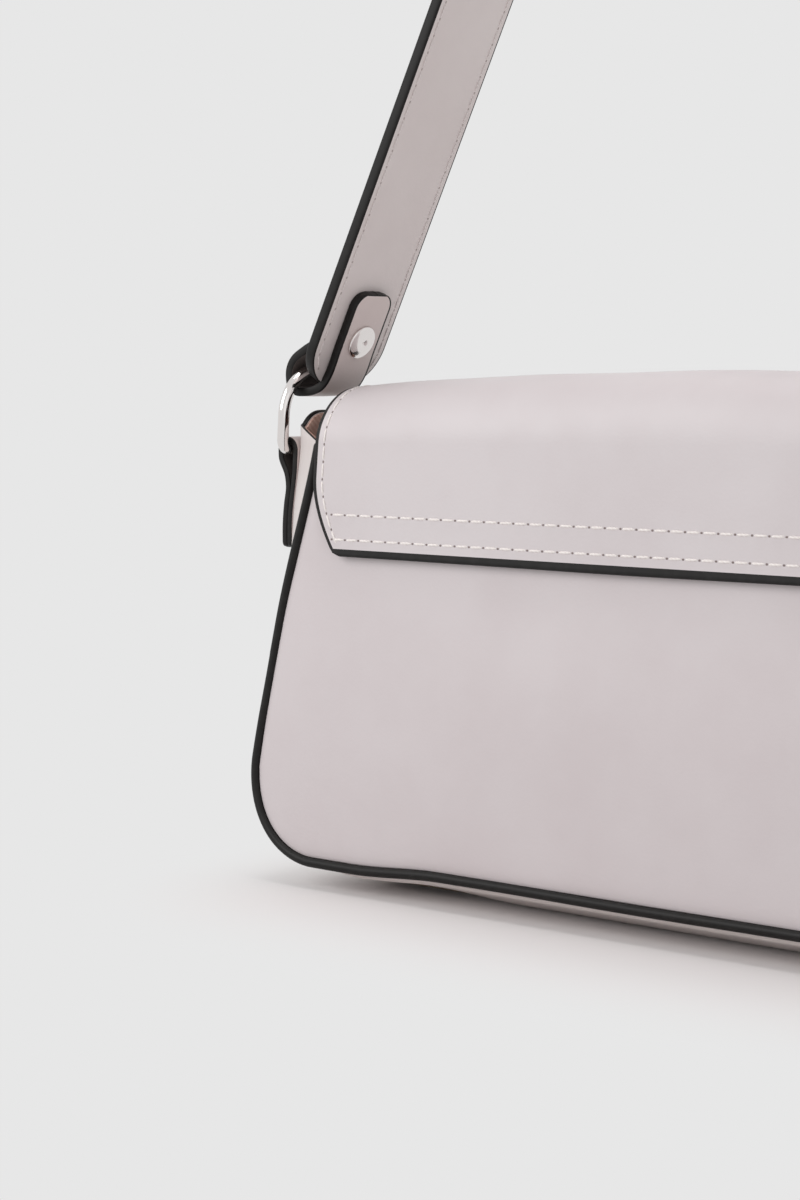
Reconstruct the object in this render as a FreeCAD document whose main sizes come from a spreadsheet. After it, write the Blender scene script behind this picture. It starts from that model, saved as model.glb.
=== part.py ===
import FreeCAD, Part
import math
import os
import re
import Sketcher

# Baguette shoulder bag, millimetres. X runs along the bag, -Y is the back, Z is up.
# The origin is the middle of the flat base. Every size below is a cell of the sheet.
SIZES = [
    ("base_half_depth", 31.44, "outer face of a panel at the floor, from the middle"),
    ("panel_lean", 5.0, "lean of each panel towards the middle, degrees"),
    ("panel_thick", 2.4, "leather of a panel with its backing"),
    ("panel_top", 125.0, "height of a panel along its own face"),
    ("panel_bottom", 10.4, "lower edge of a panel along its own face"),
    ("top_half_width", 109.2, "half width of a panel at its top"),
    ("bottom_half_width", 128.1, "half width where the side would meet the lower edge"),
    ("corner_radius", 22.0, "lower corners of a panel"),
    ("piping_diameter", 3.2, "bead round a panel"),
    ("seat_gap", 0.05, "glue line between pieces that touch along a curve"),
    ("gusset_thick", 1.6, "leather of the gusset"),
    ("gusset_join", 35.0, "height where the end gussets meet the base strip"),
    ("side_bulge", 4.0, "least bulge of a gusset past its seams"),
    ("ridge_half_top", 11.0, "half width of the flat ridge at the top"),
    ("seam_margin", 6.0, "from the seam to the flat of an end gusset"),
    ("base_margin", 13.0, "from the seam to the flat of the base"),
    ("ridge_tilt", 19.5, "upward tilt of the gusset's top edge, degrees"),
    ("lining_thick", 0.8, "lining cloth with its glue"),
    ("lining_gap", 0.2, "room between gusset and lining"),
    ("board_thick", 2.0, "stiff board in the base"),
    ("board_margin", 14.0, "board end to the start of the rounded corner"),
    ("tab_thick", 1.8, "leather of a ring tab"),
    ("tab_half_width", 10.8, "half width of a ring tab"),
    ("tab_end", 94.5, "lower end of a tab"),
    ("tab_close", 112.0, "height where the two layers of a tab meet"),
    ("tab_taper", 8.0, "height over which the outer layer of a tab comes in"),
    ("ring_wire", 3.4, "wire of a ring"),
    ("ring_room", 0.3, "room round the wire in the leather"),
    ("ring_bow_radius", 13.2, "middle line of the round side of a ring"),
    ("ring_bar_height", 123.0, "straight bar of a ring"),
    ("ring_rise", 10.0, "from the bar to the middle of the round side"),
    ("ring_corner_radius", 3.0, "corners beside the bar"),
    ("strap_width", 30.0, "shoulder strap"),
    ("strap_thick", 3.4, "two layers of the strap"),
    ("strap_foot_drop", 4.7, "strap's ends below the crown of the rings"),
    ("strap_foot_inset", 9.7, "inner faces of the ends inside the rings"),
    ("strap_apex", 341.0, "inner face at the top of the strap"),
    ("strap_top_half", 22.9, "half span where the legs would meet the top"),
    ("strap_bend_radius", 34.0, "inner face of the bend at the top"),
    ("strap_top_flat", 0.6, "least half run of the top between its two bends"),
    ("strap_end_radius", 12.0, "rounded corners of the ends"),
    ("tongue_thick", 2.0, "leather of a tongue"),
    ("tongue_half_width", 8.0, "half width of a tongue"),
    ("tongue_inner_rise", 26.5, "upper end of a tongue inside the strap, above the strap's ends"),
    ("tongue_outer_rise", 23.5, "upper end of a tongue outside the strap, above the strap's ends"),
    ("tongue_fold_drop", 5.7, "inside of the fold below the crown of the ring"),
    ("tongue_shoulder_rise", 2.8, "where the outer leg leaves the ring, above its crown"),
    ("tongue_merge_rise", 6.8, "where the outer leg meets the strap, above the crown"),
    ("tongue_end_radius", 3.0, "rounded upper corners of a tongue"),
    ("rivet_rise", 14.5, "middle of a rivet above the strap's ends"),
    ("rivet_head", 10.0, "diameter of a rivet's head"),
    ("rivet_head_thick", 1.4, "height of a rivet's head"),
    ("rivet_shank", 3.0, "diameter of a rivet's shank"),
    ("flap_gap", 0.3, "room between flap and panel"),
    ("flap_thick", 2.4, "flap with its lining"),
    ("flap_outer_thick", 1.4, "outer leather of the flap"),
    ("flap_top", 142.5, "top of the flap"),
    ("flap_shoulder_radius", 15.6, "inside of the roll over the top"),
    ("flap_back_end", 95.3, "lower edge of the sewn part of the flap"),
    ("flap_front_end", 67.0, "lower edge of the flap at the front"),
    ("flap_back_inset", 9.0, "lower corner of the sewn part inside the full width"),
    ("flap_flare", 112.0, "height where the sewn part reaches its full width"),
    ("flap_top_half", 108.5, "half width of the flap at the hinge"),
    ("ridge_room", 17.3, "from the panels' and flap's sides to the upper ends of the gussets"),
    ("flap_shoulder_inset", 6.0, "front roll inside the full width"),
    ("flap_front_inset", 12.5, "front edge inside the full width"),
    ("hinge_back", 4.6, "hinge line behind the middle"),
    ("hinge_gap", 0.3, "room at the fold line of the flap"),
    ("snap_diameter", 16.0, "snap discs"),
    ("snap_height", 81.0, "middle of the snap along the front panel"),
    ("snap_depth", 1.6, "disc in the front panel"),
    ("snap_room", 0.1, "room round a disc"),
    ("cut_overrun", 2.0, "how far a cut runs past the piece"),
]

# Sizes that follow from the ones above, so that neighbours move together.
TIED = [
    ("ridge_reach", "max(top_half_width; flap_top_half) + ridge_room", "half length over the upper ends of the gussets"),
    ("ring_half", "ridge_reach + seat_gap + tab_thick + ring_wire / 2 + ring_room", "half span between the rings"),
    ("ring_bow_height", "ring_bar_height + ring_rise", "middle of the round side of a ring"),
    ("ring_crown", "ring_bow_height + ring_bow_radius", "middle line at the top of a ring"),
    ("strap_foot", "ring_crown - strap_foot_drop", "height of the strap's ends"),
    ("strap_foot_half", "ring_half - strap_foot_inset", "half span between the inner faces at the ends"),
    ("strap_slope", "(strap_foot_half - strap_top_half) / (strap_apex - strap_foot)", "legs' run for their rise"),
    ("strap_lean", "atan(strap_slope) / 1 deg", "lean of the strap's legs, degrees"),
    ("strap_bend", "min(strap_bend_radius; (strap_top_half - strap_top_flat) / tan((90 - strap_lean) / 2))",
     "bend that fits between the legs"),
    ("tongue_inner_top", "strap_foot + tongue_inner_rise", "upper end of a tongue inside the strap"),
    ("tongue_outer_top", "strap_foot + tongue_outer_rise", "upper end of a tongue outside the strap"),
    ("tongue_fold", "ring_crown - tongue_fold_drop", "inside of the fold under the ring"),
    ("tongue_shoulder", "ring_crown + tongue_shoulder_rise", "height where the outer leg leaves the ring"),
    ("tongue_merge", "ring_crown + tongue_merge_rise", "height where the outer leg meets the strap"),
    ("rivet_height", "strap_foot + rivet_rise", "middle of a rivet"),
    ("flap_back_half", "flap_top_half - flap_back_inset", "half width of the sewn part at its lower edge"),
    ("flap_shoulder_half", "flap_top_half - flap_shoulder_inset", "half width of the flap at the front roll"),
    ("flap_front_half", "flap_top_half - flap_front_inset", "half width of the flap at its front edge"),
]

doc = FreeCAD.newDocument("BaguetteBag")
sheet = doc.addObject("Spreadsheet::Sheet", "Sizes")
for row, (alias, number, note) in enumerate(SIZES, start=1):
    sheet.set(f"A{row}", note)
    sheet.set(f"B{row}", str(number))
    sheet.setAlias(f"B{row}", alias)
doc.recompute()
for row, (alias, formula, note) in enumerate(TIED, start=len(SIZES) + 1):
    sheet.set(f"A{row}", note)
    sheet.set(f"B{row}", f"={formula}")
    sheet.setAlias(f"B{row}", alias)
    doc.recompute()

ALIAS = re.compile(r"\b([a-z]+_[a-z_]+)\b")


def bound(text):
    """Return an expression in which each named size points at its cell."""
    return ALIAS.sub(r"Sizes.\1", text)


def size(text):
    """Return the present value of an expression in named sizes."""
    return float(sheet.evalExpression(bound(text)))


def vec(x, y, z):
    """Return a point."""
    return FreeCAD.Vector(x, y, z)


def plane_of(body, role):
    """Return one of a body's own origin planes."""
    for feature in body.Origin.OriginFeatures:
        if feature.Role == role:
            return feature
    raise ValueError(role)


def new_body(label):
    """Add an empty body that carries a piece's name."""
    body = doc.addObject("PartDesign::Body", label)
    body.Label = label
    return body


def new_sketch(body, name, role):
    """Add a sketch on one of the body's origin planes."""
    sketch = body.newObject("Sketcher::SketchObject", name)
    sketch.AttachmentSupport = [(plane_of(body, role), "")]
    sketch.MapMode = "FlatFace"
    return sketch


def draw_polygon(sketch, corners):
    """Draw a closed outline whose corners are pairs of expressions, each bound to the sheet."""
    places = [vec(size(x), size(y), 0) for x, y in corners]
    first = sketch.GeometryCount
    count = len(places)
    for index in range(count):
        line = Part.LineSegment(places[index], places[(index + 1) % count])
        sketch.addGeometry(line, False)
    for index in range(count):
        after = first + (index + 1) % count
        sketch.addConstraint(Sketcher.Constraint("Coincident", first + index, 2, after, 1))
    for index, (x, y) in enumerate(corners):
        pairs = (("DistanceX", x, places[index].x), ("DistanceY", y, places[index].y))
        for kind, text, number in pairs:
            number_of = sketch.addConstraint(Sketcher.Constraint(kind, first + index, 1, number))
            sketch.setExpression(f"Constraints[{number_of}]", bound(text))


def add_pad(body, sketch, length):
    """Pad a sketch evenly to both sides."""
    pad = body.newObject("PartDesign::Pad", sketch.Name + "Pad")
    pad.Profile = sketch
    pad.Midplane = True
    pad.setExpression("Length", bound(length))
    doc.recompute()
    return pad


def add_cut(body, sketch):
    """Cut a sketch right through to both sides, and see that it took something away."""
    before = body.Shape.Volume
    pocket = body.newObject("PartDesign::Pocket", sketch.Name + "Cut")
    pocket.Profile = sketch
    pocket.Type = "ThroughAll"
    pocket.Midplane = True
    doc.recompute()
    if body.Shape.Volume >= before:
        raise RuntimeError(f"{pocket.Name} cuts nothing")
    return pocket


def edges_near(shape, flat, places):
    """Return the names of straight edges square to a plane that pass through given places.

    The plane is named by the two axes that it keeps, such as "xz".
    """
    names = []
    near = size("seat_gap")
    for index, edge in enumerate(shape.Edges, start=1):
        ends = [vertex.Point for vertex in edge.Vertexes]
        if len(ends) != 2:
            continue
        for place in places:
            far = [math.dist([getattr(end, axis) for axis in flat], place) for end in ends]
            if max(far) < near:
                names.append(f"Edge{index}")
    return names


def add_fillet(body, flat, corners, radius):
    """Round the edges that stand on the given corners of an outline."""
    base = body.Tip
    places = [[size(x), size(y)] for x, y in corners]
    names = edges_near(base.Shape, flat, places)
    if len(names) < len(places):
        raise RuntimeError(f"{body.Label}: {len(names)} edges for {len(places)} corners")
    fillet = body.newObject("PartDesign::Fillet", body.Label + "Fillet")
    fillet.Base = (base, names)
    fillet.setExpression("Radius", bound(radius))
    doc.recompute()
    return fillet


def round_end(body, place_a, place_b, radius):
    """Round both corners of a strip's end, whose thickness lies between two places in XZ."""
    base = body.Tip
    near = size("seat_gap")
    ends = [[size(x), size(y)] for x, y in (place_a, place_b)]
    names = []
    for index, edge in enumerate(base.Shape.Edges, start=1):
        found = [[vertex.Point.x, vertex.Point.z] for vertex in edge.Vertexes]
        if len(found) != 2:
            continue
        same = max(math.dist(found[0], ends[0]), math.dist(found[1], ends[1]))
        swapped = max(math.dist(found[0], ends[1]), math.dist(found[1], ends[0]))
        if min(same, swapped) < near:
            names.append(f"Edge{index}")
    if len(names) != 2:
        raise RuntimeError(f"{body.Label}: {len(names)} corners at an end")
    fillet = body.newObject("PartDesign::Fillet", body.Label + "End")
    fillet.Base = (base, names)
    fillet.setExpression("Radius", bound(radius))
    doc.recompute()
    return fillet


def add_feature(label, shape):
    """Add a piece whose shape is worked out from the sheet."""
    feature = doc.addObject("Part::Feature", label)
    feature.Label = label
    feature.Shape = shape
    feature.Placement = FreeCAD.Placement()
    return feature


def lean_piece(piece, side, depth):
    """Set a piece drawn in the XZ plane on a panel, its middle a depth inside the outer face.

    The side is -1 for the back and 1 for the front.
    """
    piece.Placement = FreeCAD.Placement(vec(0, 0, 0), FreeCAD.Rotation(vec(side, 0, 0), size("panel_lean")))
    piece.setExpression("Placement.Rotation.Angle", bound("panel_lean"))
    inward = f"({depth})"
    piece.setExpression("Placement.Base.y", bound(f"{side} * (base_half_depth - {inward} * cos(panel_lean))"))
    piece.setExpression("Placement.Base.z", bound(f"-{inward} * sin(panel_lean)"))


# Panels: a tapered outline with rounded lower corners, leaning towards the middle.
PANEL = [
    ("-top_half_width", "panel_top"),
    ("-bottom_half_width", "panel_bottom"),
    ("bottom_half_width", "panel_bottom"),
    ("top_half_width", "panel_top"),
]


def make_panel(label, side):
    """Make one panel of the bag."""
    body = new_body(label)
    sketch = new_sketch(body, label + "Outline", "XZ_Plane")
    draw_polygon(sketch, PANEL)
    add_pad(body, sketch, "panel_thick")
    add_fillet(body, "xz", PANEL[1:3], "corner_radius")
    lean_piece(body, side, "panel_thick / 2")
    return body


back_panel = make_panel("back_panel", -1)
front_body = make_panel("front_panel_leather", 1)


def lean_point(x, along, depth, side):
    """Return the point on a leaning panel at a place along its face and a depth under its outer face."""
    lean = math.radians(size("panel_lean"))
    y = size("base_half_depth") - along * math.sin(lean) - depth * math.cos(lean)
    z = along * math.cos(lean) - depth * math.sin(lean)
    return vec(x, side * y, z)


def side_slope():
    """Return how far the side of a panel comes in for each unit of height."""
    return size("(bottom_half_width - top_half_width) / (panel_top - panel_bottom)")


def side_half(along):
    """Return the half width of a panel at a height along its face, on its straight side."""
    return size("bottom_half_width") - side_slope() * (along - size("panel_bottom"))


def corner_middle():
    """Return the middle of the right lower corner's arc, across and along the panel."""
    radius = size("corner_radius")
    along = size("panel_bottom") + radius
    across = side_half(along) - radius * math.hypot(1, side_slope())
    return across, along


def outline_wire(inset, level):
    """Return the open outline of a panel, drawn in by an inset, at a level along Y."""
    across, along = corner_middle()
    radius = size("corner_radius") - inset
    turn = math.atan(side_slope())
    top = size("panel_top")
    low = vec(across, level, along - radius)
    mid = vec(across + radius * math.sin(math.pi / 4 + turn / 2), level,
              along - radius * math.cos(math.pi / 4 + turn / 2))
    side = vec(across + radius * math.cos(turn), level, along + radius * math.sin(turn))
    upper = vec(side.x - side_slope() * (top - side.z), level, top)

    def mirror(point):
        return vec(-point.x, point.y, point.z)

    edges = [
        Part.LineSegment(mirror(upper), mirror(side)).toShape(),
        Part.Arc(mirror(side), mirror(mid), mirror(low)).toShape(),
        Part.LineSegment(mirror(low), low).toShape(),
        Part.Arc(low, mid, side).toShape(),
        Part.LineSegment(side, upper).toShape(),
    ]
    return Part.Wire(edges)


def make_piping(label, side):
    """Make the round bead that runs along a panel's edge."""
    path = outline_wire(-size("piping_diameter / 2 + seat_gap"), 0)
    start = path.Edges[0].Vertexes[0].Point
    way = path.Edges[0].tangentAt(path.Edges[0].FirstParameter)
    ring = Part.Wire(Part.makeCircle(size("piping_diameter / 2"), start, way))
    piece = add_feature(label, path.makePipeShell([ring], True, False))
    lean_piece(piece, side, "panel_thick / 2")
    return piece


back_piping = make_piping("back_piping", -1)
front_piping = make_piping("front_piping", 1)


# Gusset: one strip round the ends and the base, seamed to the inner faces of both panels.
# A station is a place on the outline, the way the strip bulges there, how far, and the half
# width of its flat middle.
def seam_half(along, depth):
    """Return the half depth between two panels at a height, a depth under their outer faces."""
    return lean_point(0, along, depth, 1).y


def end_station(along):
    """Return the station of the right end at a height along the panel."""
    x = side_half(along)
    top = size("panel_top")
    join = size("gusset_join")
    rise = (along - join) / (top - join)
    start = math.atan(side_slope())
    tilt = start + (math.radians(size("ridge_tilt")) - start) * rise ** 2
    bulge = max(size("side_bulge"), size("ridge_reach") - x) / math.cos(tilt)
    wide = seam_half(along, size("panel_thick")) - size("seam_margin")
    flat = wide + (size("ridge_half_top") - wide) * rise
    return x, along, math.cos(tilt), math.sin(tilt), bulge, flat


def corner_stations(count):
    """Return the stations round the right lower corner, from the base up to the side."""
    across, along = corner_middle()
    radius = size("corner_radius")
    turn = math.atan(side_slope())
    low = lean_point(0, size("panel_bottom"), size("panel_thick"), 1).z
    stations = []
    for index in range(count + 1):
        angle = -math.pi / 2 + (math.pi / 2 + turn) * index / count
        way_x, way_z = math.cos(angle), math.sin(angle)
        lean = math.cos(math.radians(size("panel_lean")))
        bulge = low / lean + (size("side_bulge") - low / lean) * index / count
        place = along + radius * way_z
        margin = size("base_margin") + size("seam_margin - base_margin") * index / count
        flat = seam_half(place, size("panel_thick")) - margin
        stations.append((across + radius * way_x, place, way_x, way_z, bulge, flat))
    return stations


def mirror_station(station):
    """Return the station's twin at the other end."""
    x, along, way_x, way_z, bulge, flat = station
    return -x, along, -way_x, way_z, bulge, flat


def strip_section(station, depth, inset, thick, drawn):
    """Return the closed section of a strip at a station.

    The depth is how far under the outer faces of the panels its seams lie, the inset is how far
    inside the outline it starts, and drawn is how much of the bulge it gives up.
    """
    x, along, way_x, way_z, bulge, flat = station
    lean = math.cos(math.radians(size("panel_lean")))
    rows = []
    for level in (inset, inset + thick):
        seam_x, seam_along = x - way_x * level, along - way_z * level
        front = lean_point(seam_x, seam_along, depth, 1)
        back = lean_point(seam_x, seam_along, depth, -1)
        out = bulge - drawn
        half = flat - level
        ridge_x = front.x + way_x * out
        ridge_z = front.z + way_z * lean * out
        rows.append([front, vec(ridge_x, half, ridge_z), vec(ridge_x, -half, ridge_z), back])
    points = rows[0] + rows[1][::-1]
    return Part.makePolygon(points + [points[0]])


def make_strip(label, stations, depth, inset, thick, drawn):
    """Loft a strip of leather or cloth through its stations."""
    if not isinstance(drawn, list):
        drawn = [drawn] * len(stations)
    wires = [strip_section(station, depth, inset, thick, give) for station, give in zip(stations, drawn)]
    loft = Part.makeLoft(wires, True, True)
    if loft.Volume < 0:
        loft.reverse()
    return add_feature(label, loft)


END_SHARES = [0.0, 0.3, 0.6, 0.85, 1.0]
CORNER_STEPS = 5
join_height = size("gusset_join")
end_heights = [join_height + size("panel_top - gusset_join") * share for share in END_SHARES]
right_end = [end_station(along) for along in end_heights]
left_end = [mirror_station(station) for station in right_end]
right_corner = corner_stations(CORNER_STEPS)
left_corner = [mirror_station(station) for station in right_corner]
base_run = left_end[:1] + left_corner[::-1] + right_corner + right_end[:1]

outer_depth = size("panel_thick")
leather = size("gusset_thick")
left_gusset = make_strip("left_gusset", left_end, outer_depth, 0, leather, 0)
right_gusset = make_strip("right_gusset", right_end, outer_depth, 0, leather, 0)
bottom_gusset = make_strip("bottom_gusset", base_run, outer_depth, 0, leather, 0)

# Lining: a cloth strip inside the gusset, lifted over the base board, and a sheet on each panel.
cloth_depth = size("panel_thick + lining_thick")
cloth_inset = size("gusset_thick + lining_gap")
board_lift = size("board_thick + lining_gap")
lift_run = [0.0] + [board_lift * (1 - index / CORNER_STEPS) for index in range(CORNER_STEPS, -1, -1)]
lining_run = left_end[:0:-1] + base_run + right_end[1:]
lining_lift = [0.0] * (len(left_end) - 1) + lift_run + lift_run[::-1] + [0.0] * (len(right_end) - 1)
gusset_lining = make_strip("gusset_lining", lining_run, cloth_depth, cloth_inset,
                           size("lining_thick"), lining_lift)


def make_lining(label, side):
    """Make the sheet of lining on one panel's inner face."""
    wire = outline_wire(cloth_inset + size("lining_gap"), -size("lining_thick / 2"))
    ends = [wire.Edges[-1].Vertexes[-1].Point, wire.Edges[0].Vertexes[0].Point]
    closed = Part.Wire(wire.Edges + [Part.LineSegment(*ends).toShape()])
    piece = add_feature(label, Part.Face(closed).extrude(vec(0, size("lining_thick"), 0)))
    lean_piece(piece, side, "panel_thick + lining_thick / 2")
    return piece


back_lining = make_lining("back_lining", -1)
front_lining = make_lining("front_lining", 1)

# Base board: a flat board on the base strip, under the lining.
base_board = doc.addObject("Part::Box", "base_board")
base_board.Label = "base_board"
board_half_depth = "(base_half_depth - panel_thick - base_margin - gusset_thick - lining_gap - lining_thick)"
board_half_length = "(bottom_half_width - corner_radius - board_margin)"
base_board.setExpression("Length", bound(f"2 * {board_half_length}"))
base_board.setExpression("Width", bound(f"2 * {board_half_depth}"))
base_board.setExpression("Height", bound("board_thick"))
base_board.setExpression("Placement.Base.x", bound(f"-{board_half_length}"))
base_board.setExpression("Placement.Base.y", bound(f"-{board_half_depth}"))
base_board.setExpression("Placement.Base.z", bound("gusset_thick + seat_gap"))

# Snap in the front panel: a flat disc let into the leather, flush with its outer face.
snap_hole = doc.addObject("Part::Cylinder", "snap_hole")
snap_hole.setExpression("Radius", bound("snap_diameter / 2 + snap_room"))
snap_hole.setExpression("Height", bound("snap_depth + cut_overrun"))
panel_snap = doc.addObject("Part::Cylinder", "panel_snap")
panel_snap.Label = "panel_snap"
panel_snap.setExpression("Radius", bound("snap_diameter / 2"))
panel_snap.setExpression("Height", bound("snap_depth"))


def set_disc(disc, depth):
    """Stand a disc square to the front panel at the snap, its foot a depth under the outer face."""
    turn = FreeCAD.Rotation(vec(-1, 0, 0), 90 - size("panel_lean"))
    disc.Placement = FreeCAD.Placement(vec(0, 0, 0), turn)
    disc.setExpression("Placement.Rotation.Angle", bound("90 - panel_lean"))
    inward = f"({depth})"
    disc.setExpression("Placement.Base.y", bound(
        f"base_half_depth - snap_height * sin(panel_lean) - {inward} * cos(panel_lean)"))
    disc.setExpression("Placement.Base.z", bound(
        f"snap_height * cos(panel_lean) - {inward} * sin(panel_lean)"))


set_disc(snap_hole, "snap_depth")
set_disc(panel_snap, "snap_depth")


def make_cut(label, base, tool):
    """Take one piece out of another and give the rest a name."""
    cut = doc.addObject("Part::Cut", label)
    cut.Label = label
    cut.Base = base
    cut.Tool = tool
    return cut


front_panel = make_cut("front_panel", front_body, snap_hole)


# Flap: leather that lies on a panel, rolls over the top and is split at its fold line.
def flap_line(side, offset, height):
    """Return the expression for a place across the bag on a line outside a leaning panel."""
    return f"{side} * (base_half_depth - ({height}) * tan(panel_lean) + ({offset}) / cos(panel_lean))"


def make_flap(label, side, inner, outer, end, hinge):
    """Make one layer of the flap on one side, from its lower edge to the fold line."""
    body = new_body(label)
    sketch = new_sketch(body, label + "Profile", "YZ_Plane")
    top_outer = f"flap_top - flap_thick - flap_gap + ({outer})"
    top_inner = f"flap_top - flap_thick - flap_gap + ({inner})"
    corners = [
        (flap_line(side, outer, end), end),
        (flap_line(side, outer, top_outer), top_outer),
        (hinge, top_outer),
        (hinge, top_inner),
        (flap_line(side, inner, top_inner), top_inner),
        (flap_line(side, inner, end), end),
    ]
    draw_polygon(sketch, corners)
    add_pad(body, sketch, "2 * flap_top_half")
    add_fillet(body, "yz", corners[1:2], f"flap_shoulder_radius - flap_gap + ({outer})")
    add_fillet(body, "yz", corners[4:5], f"flap_shoulder_radius - flap_gap + ({inner})")
    return body


def trim_sides(body, role, outline):
    """Cut both sides of a flap along an outline given on the right."""
    for name, sign in (("Right", "1"), ("Left", "-1")):
        sketch = new_sketch(body, body.Label + role[:2] + name, role)
        draw_polygon(sketch, [(f"{sign} * ({x})", y) for x, y in outline])
        add_cut(body, sketch)


flap_inner = "flap_gap"
flap_mid = "flap_gap + flap_thick - flap_outer_thick"
flap_outer = "flap_gap + flap_thick"
past_side = "flap_top_half + cut_overrun"

flap_back = make_flap("flap_back", -1, flap_inner, flap_outer, "flap_back_end", "-hinge_back")
trim_sides(flap_back, "XZ_Plane", [
    ("flap_back_half", "flap_back_end"),
    ("flap_top_half", "flap_flare"),
    (past_side, "flap_flare"),
    (past_side, "flap_back_end - cut_overrun"),
    ("flap_back_half", "flap_back_end - cut_overrun"),
])

FRONT_SIDE = [
    ("flap_front_half", "flap_front_end - cut_overrun"),
    ("flap_front_half", "flap_front_end"),
    ("flap_shoulder_half", "flap_top"),
    (past_side, "flap_top"),
    (past_side, "flap_front_end - cut_overrun"),
]
front_reach = flap_line(1, flap_outer, "flap_front_end")
TOP_SIDE = [
    ("flap_top_half", "-hinge_back"),
    ("flap_shoulder_half", "hinge_back + flap_shoulder_radius"),
    ("flap_shoulder_half", f"{front_reach} + cut_overrun"),
    (past_side, f"{front_reach} + cut_overrun"),
    (past_side, "-hinge_back"),
]


def trim_front(body):
    """Draw in the sides of a front layer, over the top and down the front."""
    front = [FRONT_SIDE[0], FRONT_SIDE[1], FRONT_SIDE[2], FRONT_SIDE[3], FRONT_SIDE[4]]
    trim_sides(body, "XY_Plane", TOP_SIDE)
    front[2] = ("flap_shoulder_half", "flap_top - flap_thick - flap_shoulder_radius")
    front[3] = (past_side, "flap_top - flap_thick - flap_shoulder_radius")
    trim_sides(body, "XZ_Plane", front)


flap_front = make_flap("flap_front", 1, flap_mid, flap_outer, "flap_front_end", "hinge_gap - hinge_back")
trim_front(flap_front)
lining_body = make_flap("flap_lining_cloth", 1, flap_inner, flap_mid, "flap_front_end", "hinge_gap - hinge_back")
trim_front(lining_body)

flap_snap_hole = doc.addObject("Part::Cylinder", "flap_snap_hole")
flap_snap_hole.setExpression("Radius", bound("snap_diameter / 2 + snap_room"))
flap_snap_hole.setExpression("Height", bound("flap_gap + flap_thick - flap_outer_thick"))
set_disc(flap_snap_hole, "0")
flap_snap = doc.addObject("Part::Cylinder", "flap_snap")
flap_snap.Label = "flap_snap"
flap_snap.setExpression("Radius", bound("snap_diameter / 2"))
flap_snap.setExpression("Height", bound("flap_thick - flap_outer_thick"))
set_disc(flap_snap, "-flap_gap")
flap_lining = make_cut("flap_lining", lining_body, flap_snap_hole)


# Tabs: a strip of leather folded over the ring's bar and sewn to the end gusset.
def make_tab(label, sign):
    """Make the tab at one end of the bag."""
    body = new_body(label)
    inner = f"{sign} * (ridge_reach + seat_gap)"
    inside = f"{sign} * (ridge_reach + seat_gap + tab_thick)"
    hole_far = f"{sign} * (ridge_reach + seat_gap + tab_thick + ring_wire + 2 * ring_room)"
    outside = f"{sign} * (ridge_reach + seat_gap + 2 * tab_thick + ring_wire + 2 * ring_room)"
    joined = f"{sign} * (ridge_reach + seat_gap + 2 * tab_thick)"
    hole_top = "ring_bar_height + ring_wire / 2 + ring_room"
    outline = [
        (inner, "tab_end"),
        (inner, f"{hole_top} + tab_thick"),
        (outside, f"{hole_top} + tab_thick"),
        (outside, "tab_close + tab_taper"),
        (joined, "tab_close"),
        (joined, "tab_end"),
    ]
    sketch = new_sketch(body, label + "Outline", "XZ_Plane")
    draw_polygon(sketch, outline)
    add_pad(body, sketch, "2 * tab_half_width")
    hole = [
        (inside, "tab_close"),
        (inside, hole_top),
        (hole_far, hole_top),
        (hole_far, "tab_close + tab_taper"),
    ]
    hole_sketch = new_sketch(body, label + "Loop", "XZ_Plane")
    draw_polygon(hole_sketch, hole)
    add_cut(body, hole_sketch)
    add_fillet(body, "xz", outline[1:3], "tab_thick + ring_wire / 2")
    add_fillet(body, "xz", hole[1:3], "ring_wire / 2")
    return body


left_tab = make_tab("left_tab", "-1")
right_tab = make_tab("right_tab", "1")


def ring_middle():
    """Return the half span between the two rings."""
    return size("ring_half")


def make_ring(label, sign):
    """Make a D-ring standing on its bar, across the end of the bag."""
    x = sign * ring_middle()
    half = size("ring_bow_radius")
    bar = size("ring_bar_height")
    bow = size("ring_bow_height")
    small = size("ring_corner_radius")
    skew = small * (1 - math.sqrt(0.5))
    spots = {
        "bar": vec(x, 0, bar),
        "low_b": vec(x, half - small, bar),
        "mid_b": vec(x, half - skew, bar + skew),
        "side_b": vec(x, half, bar + small),
        "up_b": vec(x, half, bow),
        "crown": vec(x, 0, bow + half),
        "up_a": vec(x, -half, bow),
        "side_a": vec(x, -half, bar + small),
        "mid_a": vec(x, -half + skew, bar + skew),
        "low_a": vec(x, -half + small, bar),
    }
    path = Part.Wire([
        Part.LineSegment(spots["bar"], spots["low_b"]).toShape(),
        Part.Arc(spots["low_b"], spots["mid_b"], spots["side_b"]).toShape(),
        Part.LineSegment(spots["side_b"], spots["up_b"]).toShape(),
        Part.Arc(spots["up_b"], spots["crown"], spots["up_a"]).toShape(),
        Part.LineSegment(spots["up_a"], spots["side_a"]).toShape(),
        Part.Arc(spots["side_a"], spots["mid_a"], spots["low_a"]).toShape(),
        Part.LineSegment(spots["low_a"], spots["bar"]).toShape(),
    ])
    wire = Part.Wire(Part.makeCircle(size("ring_wire / 2"), spots["bar"], vec(0, 1, 0)))
    return add_feature(label, path.makePipeShell([wire], True, False))


left_ring = make_ring("left_ring", -1)
right_ring = make_ring("right_ring", 1)


# Strap: one long band with a bend at the top, drawn from the side and given its width.
def leg(offset, height):
    """Return the half span of a line beside the strap's leg, an offset outside its inner face."""
    return f"(strap_foot_half - (({height}) - strap_foot) * tan(strap_lean) + ({offset}) / cos(strap_lean))"


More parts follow.
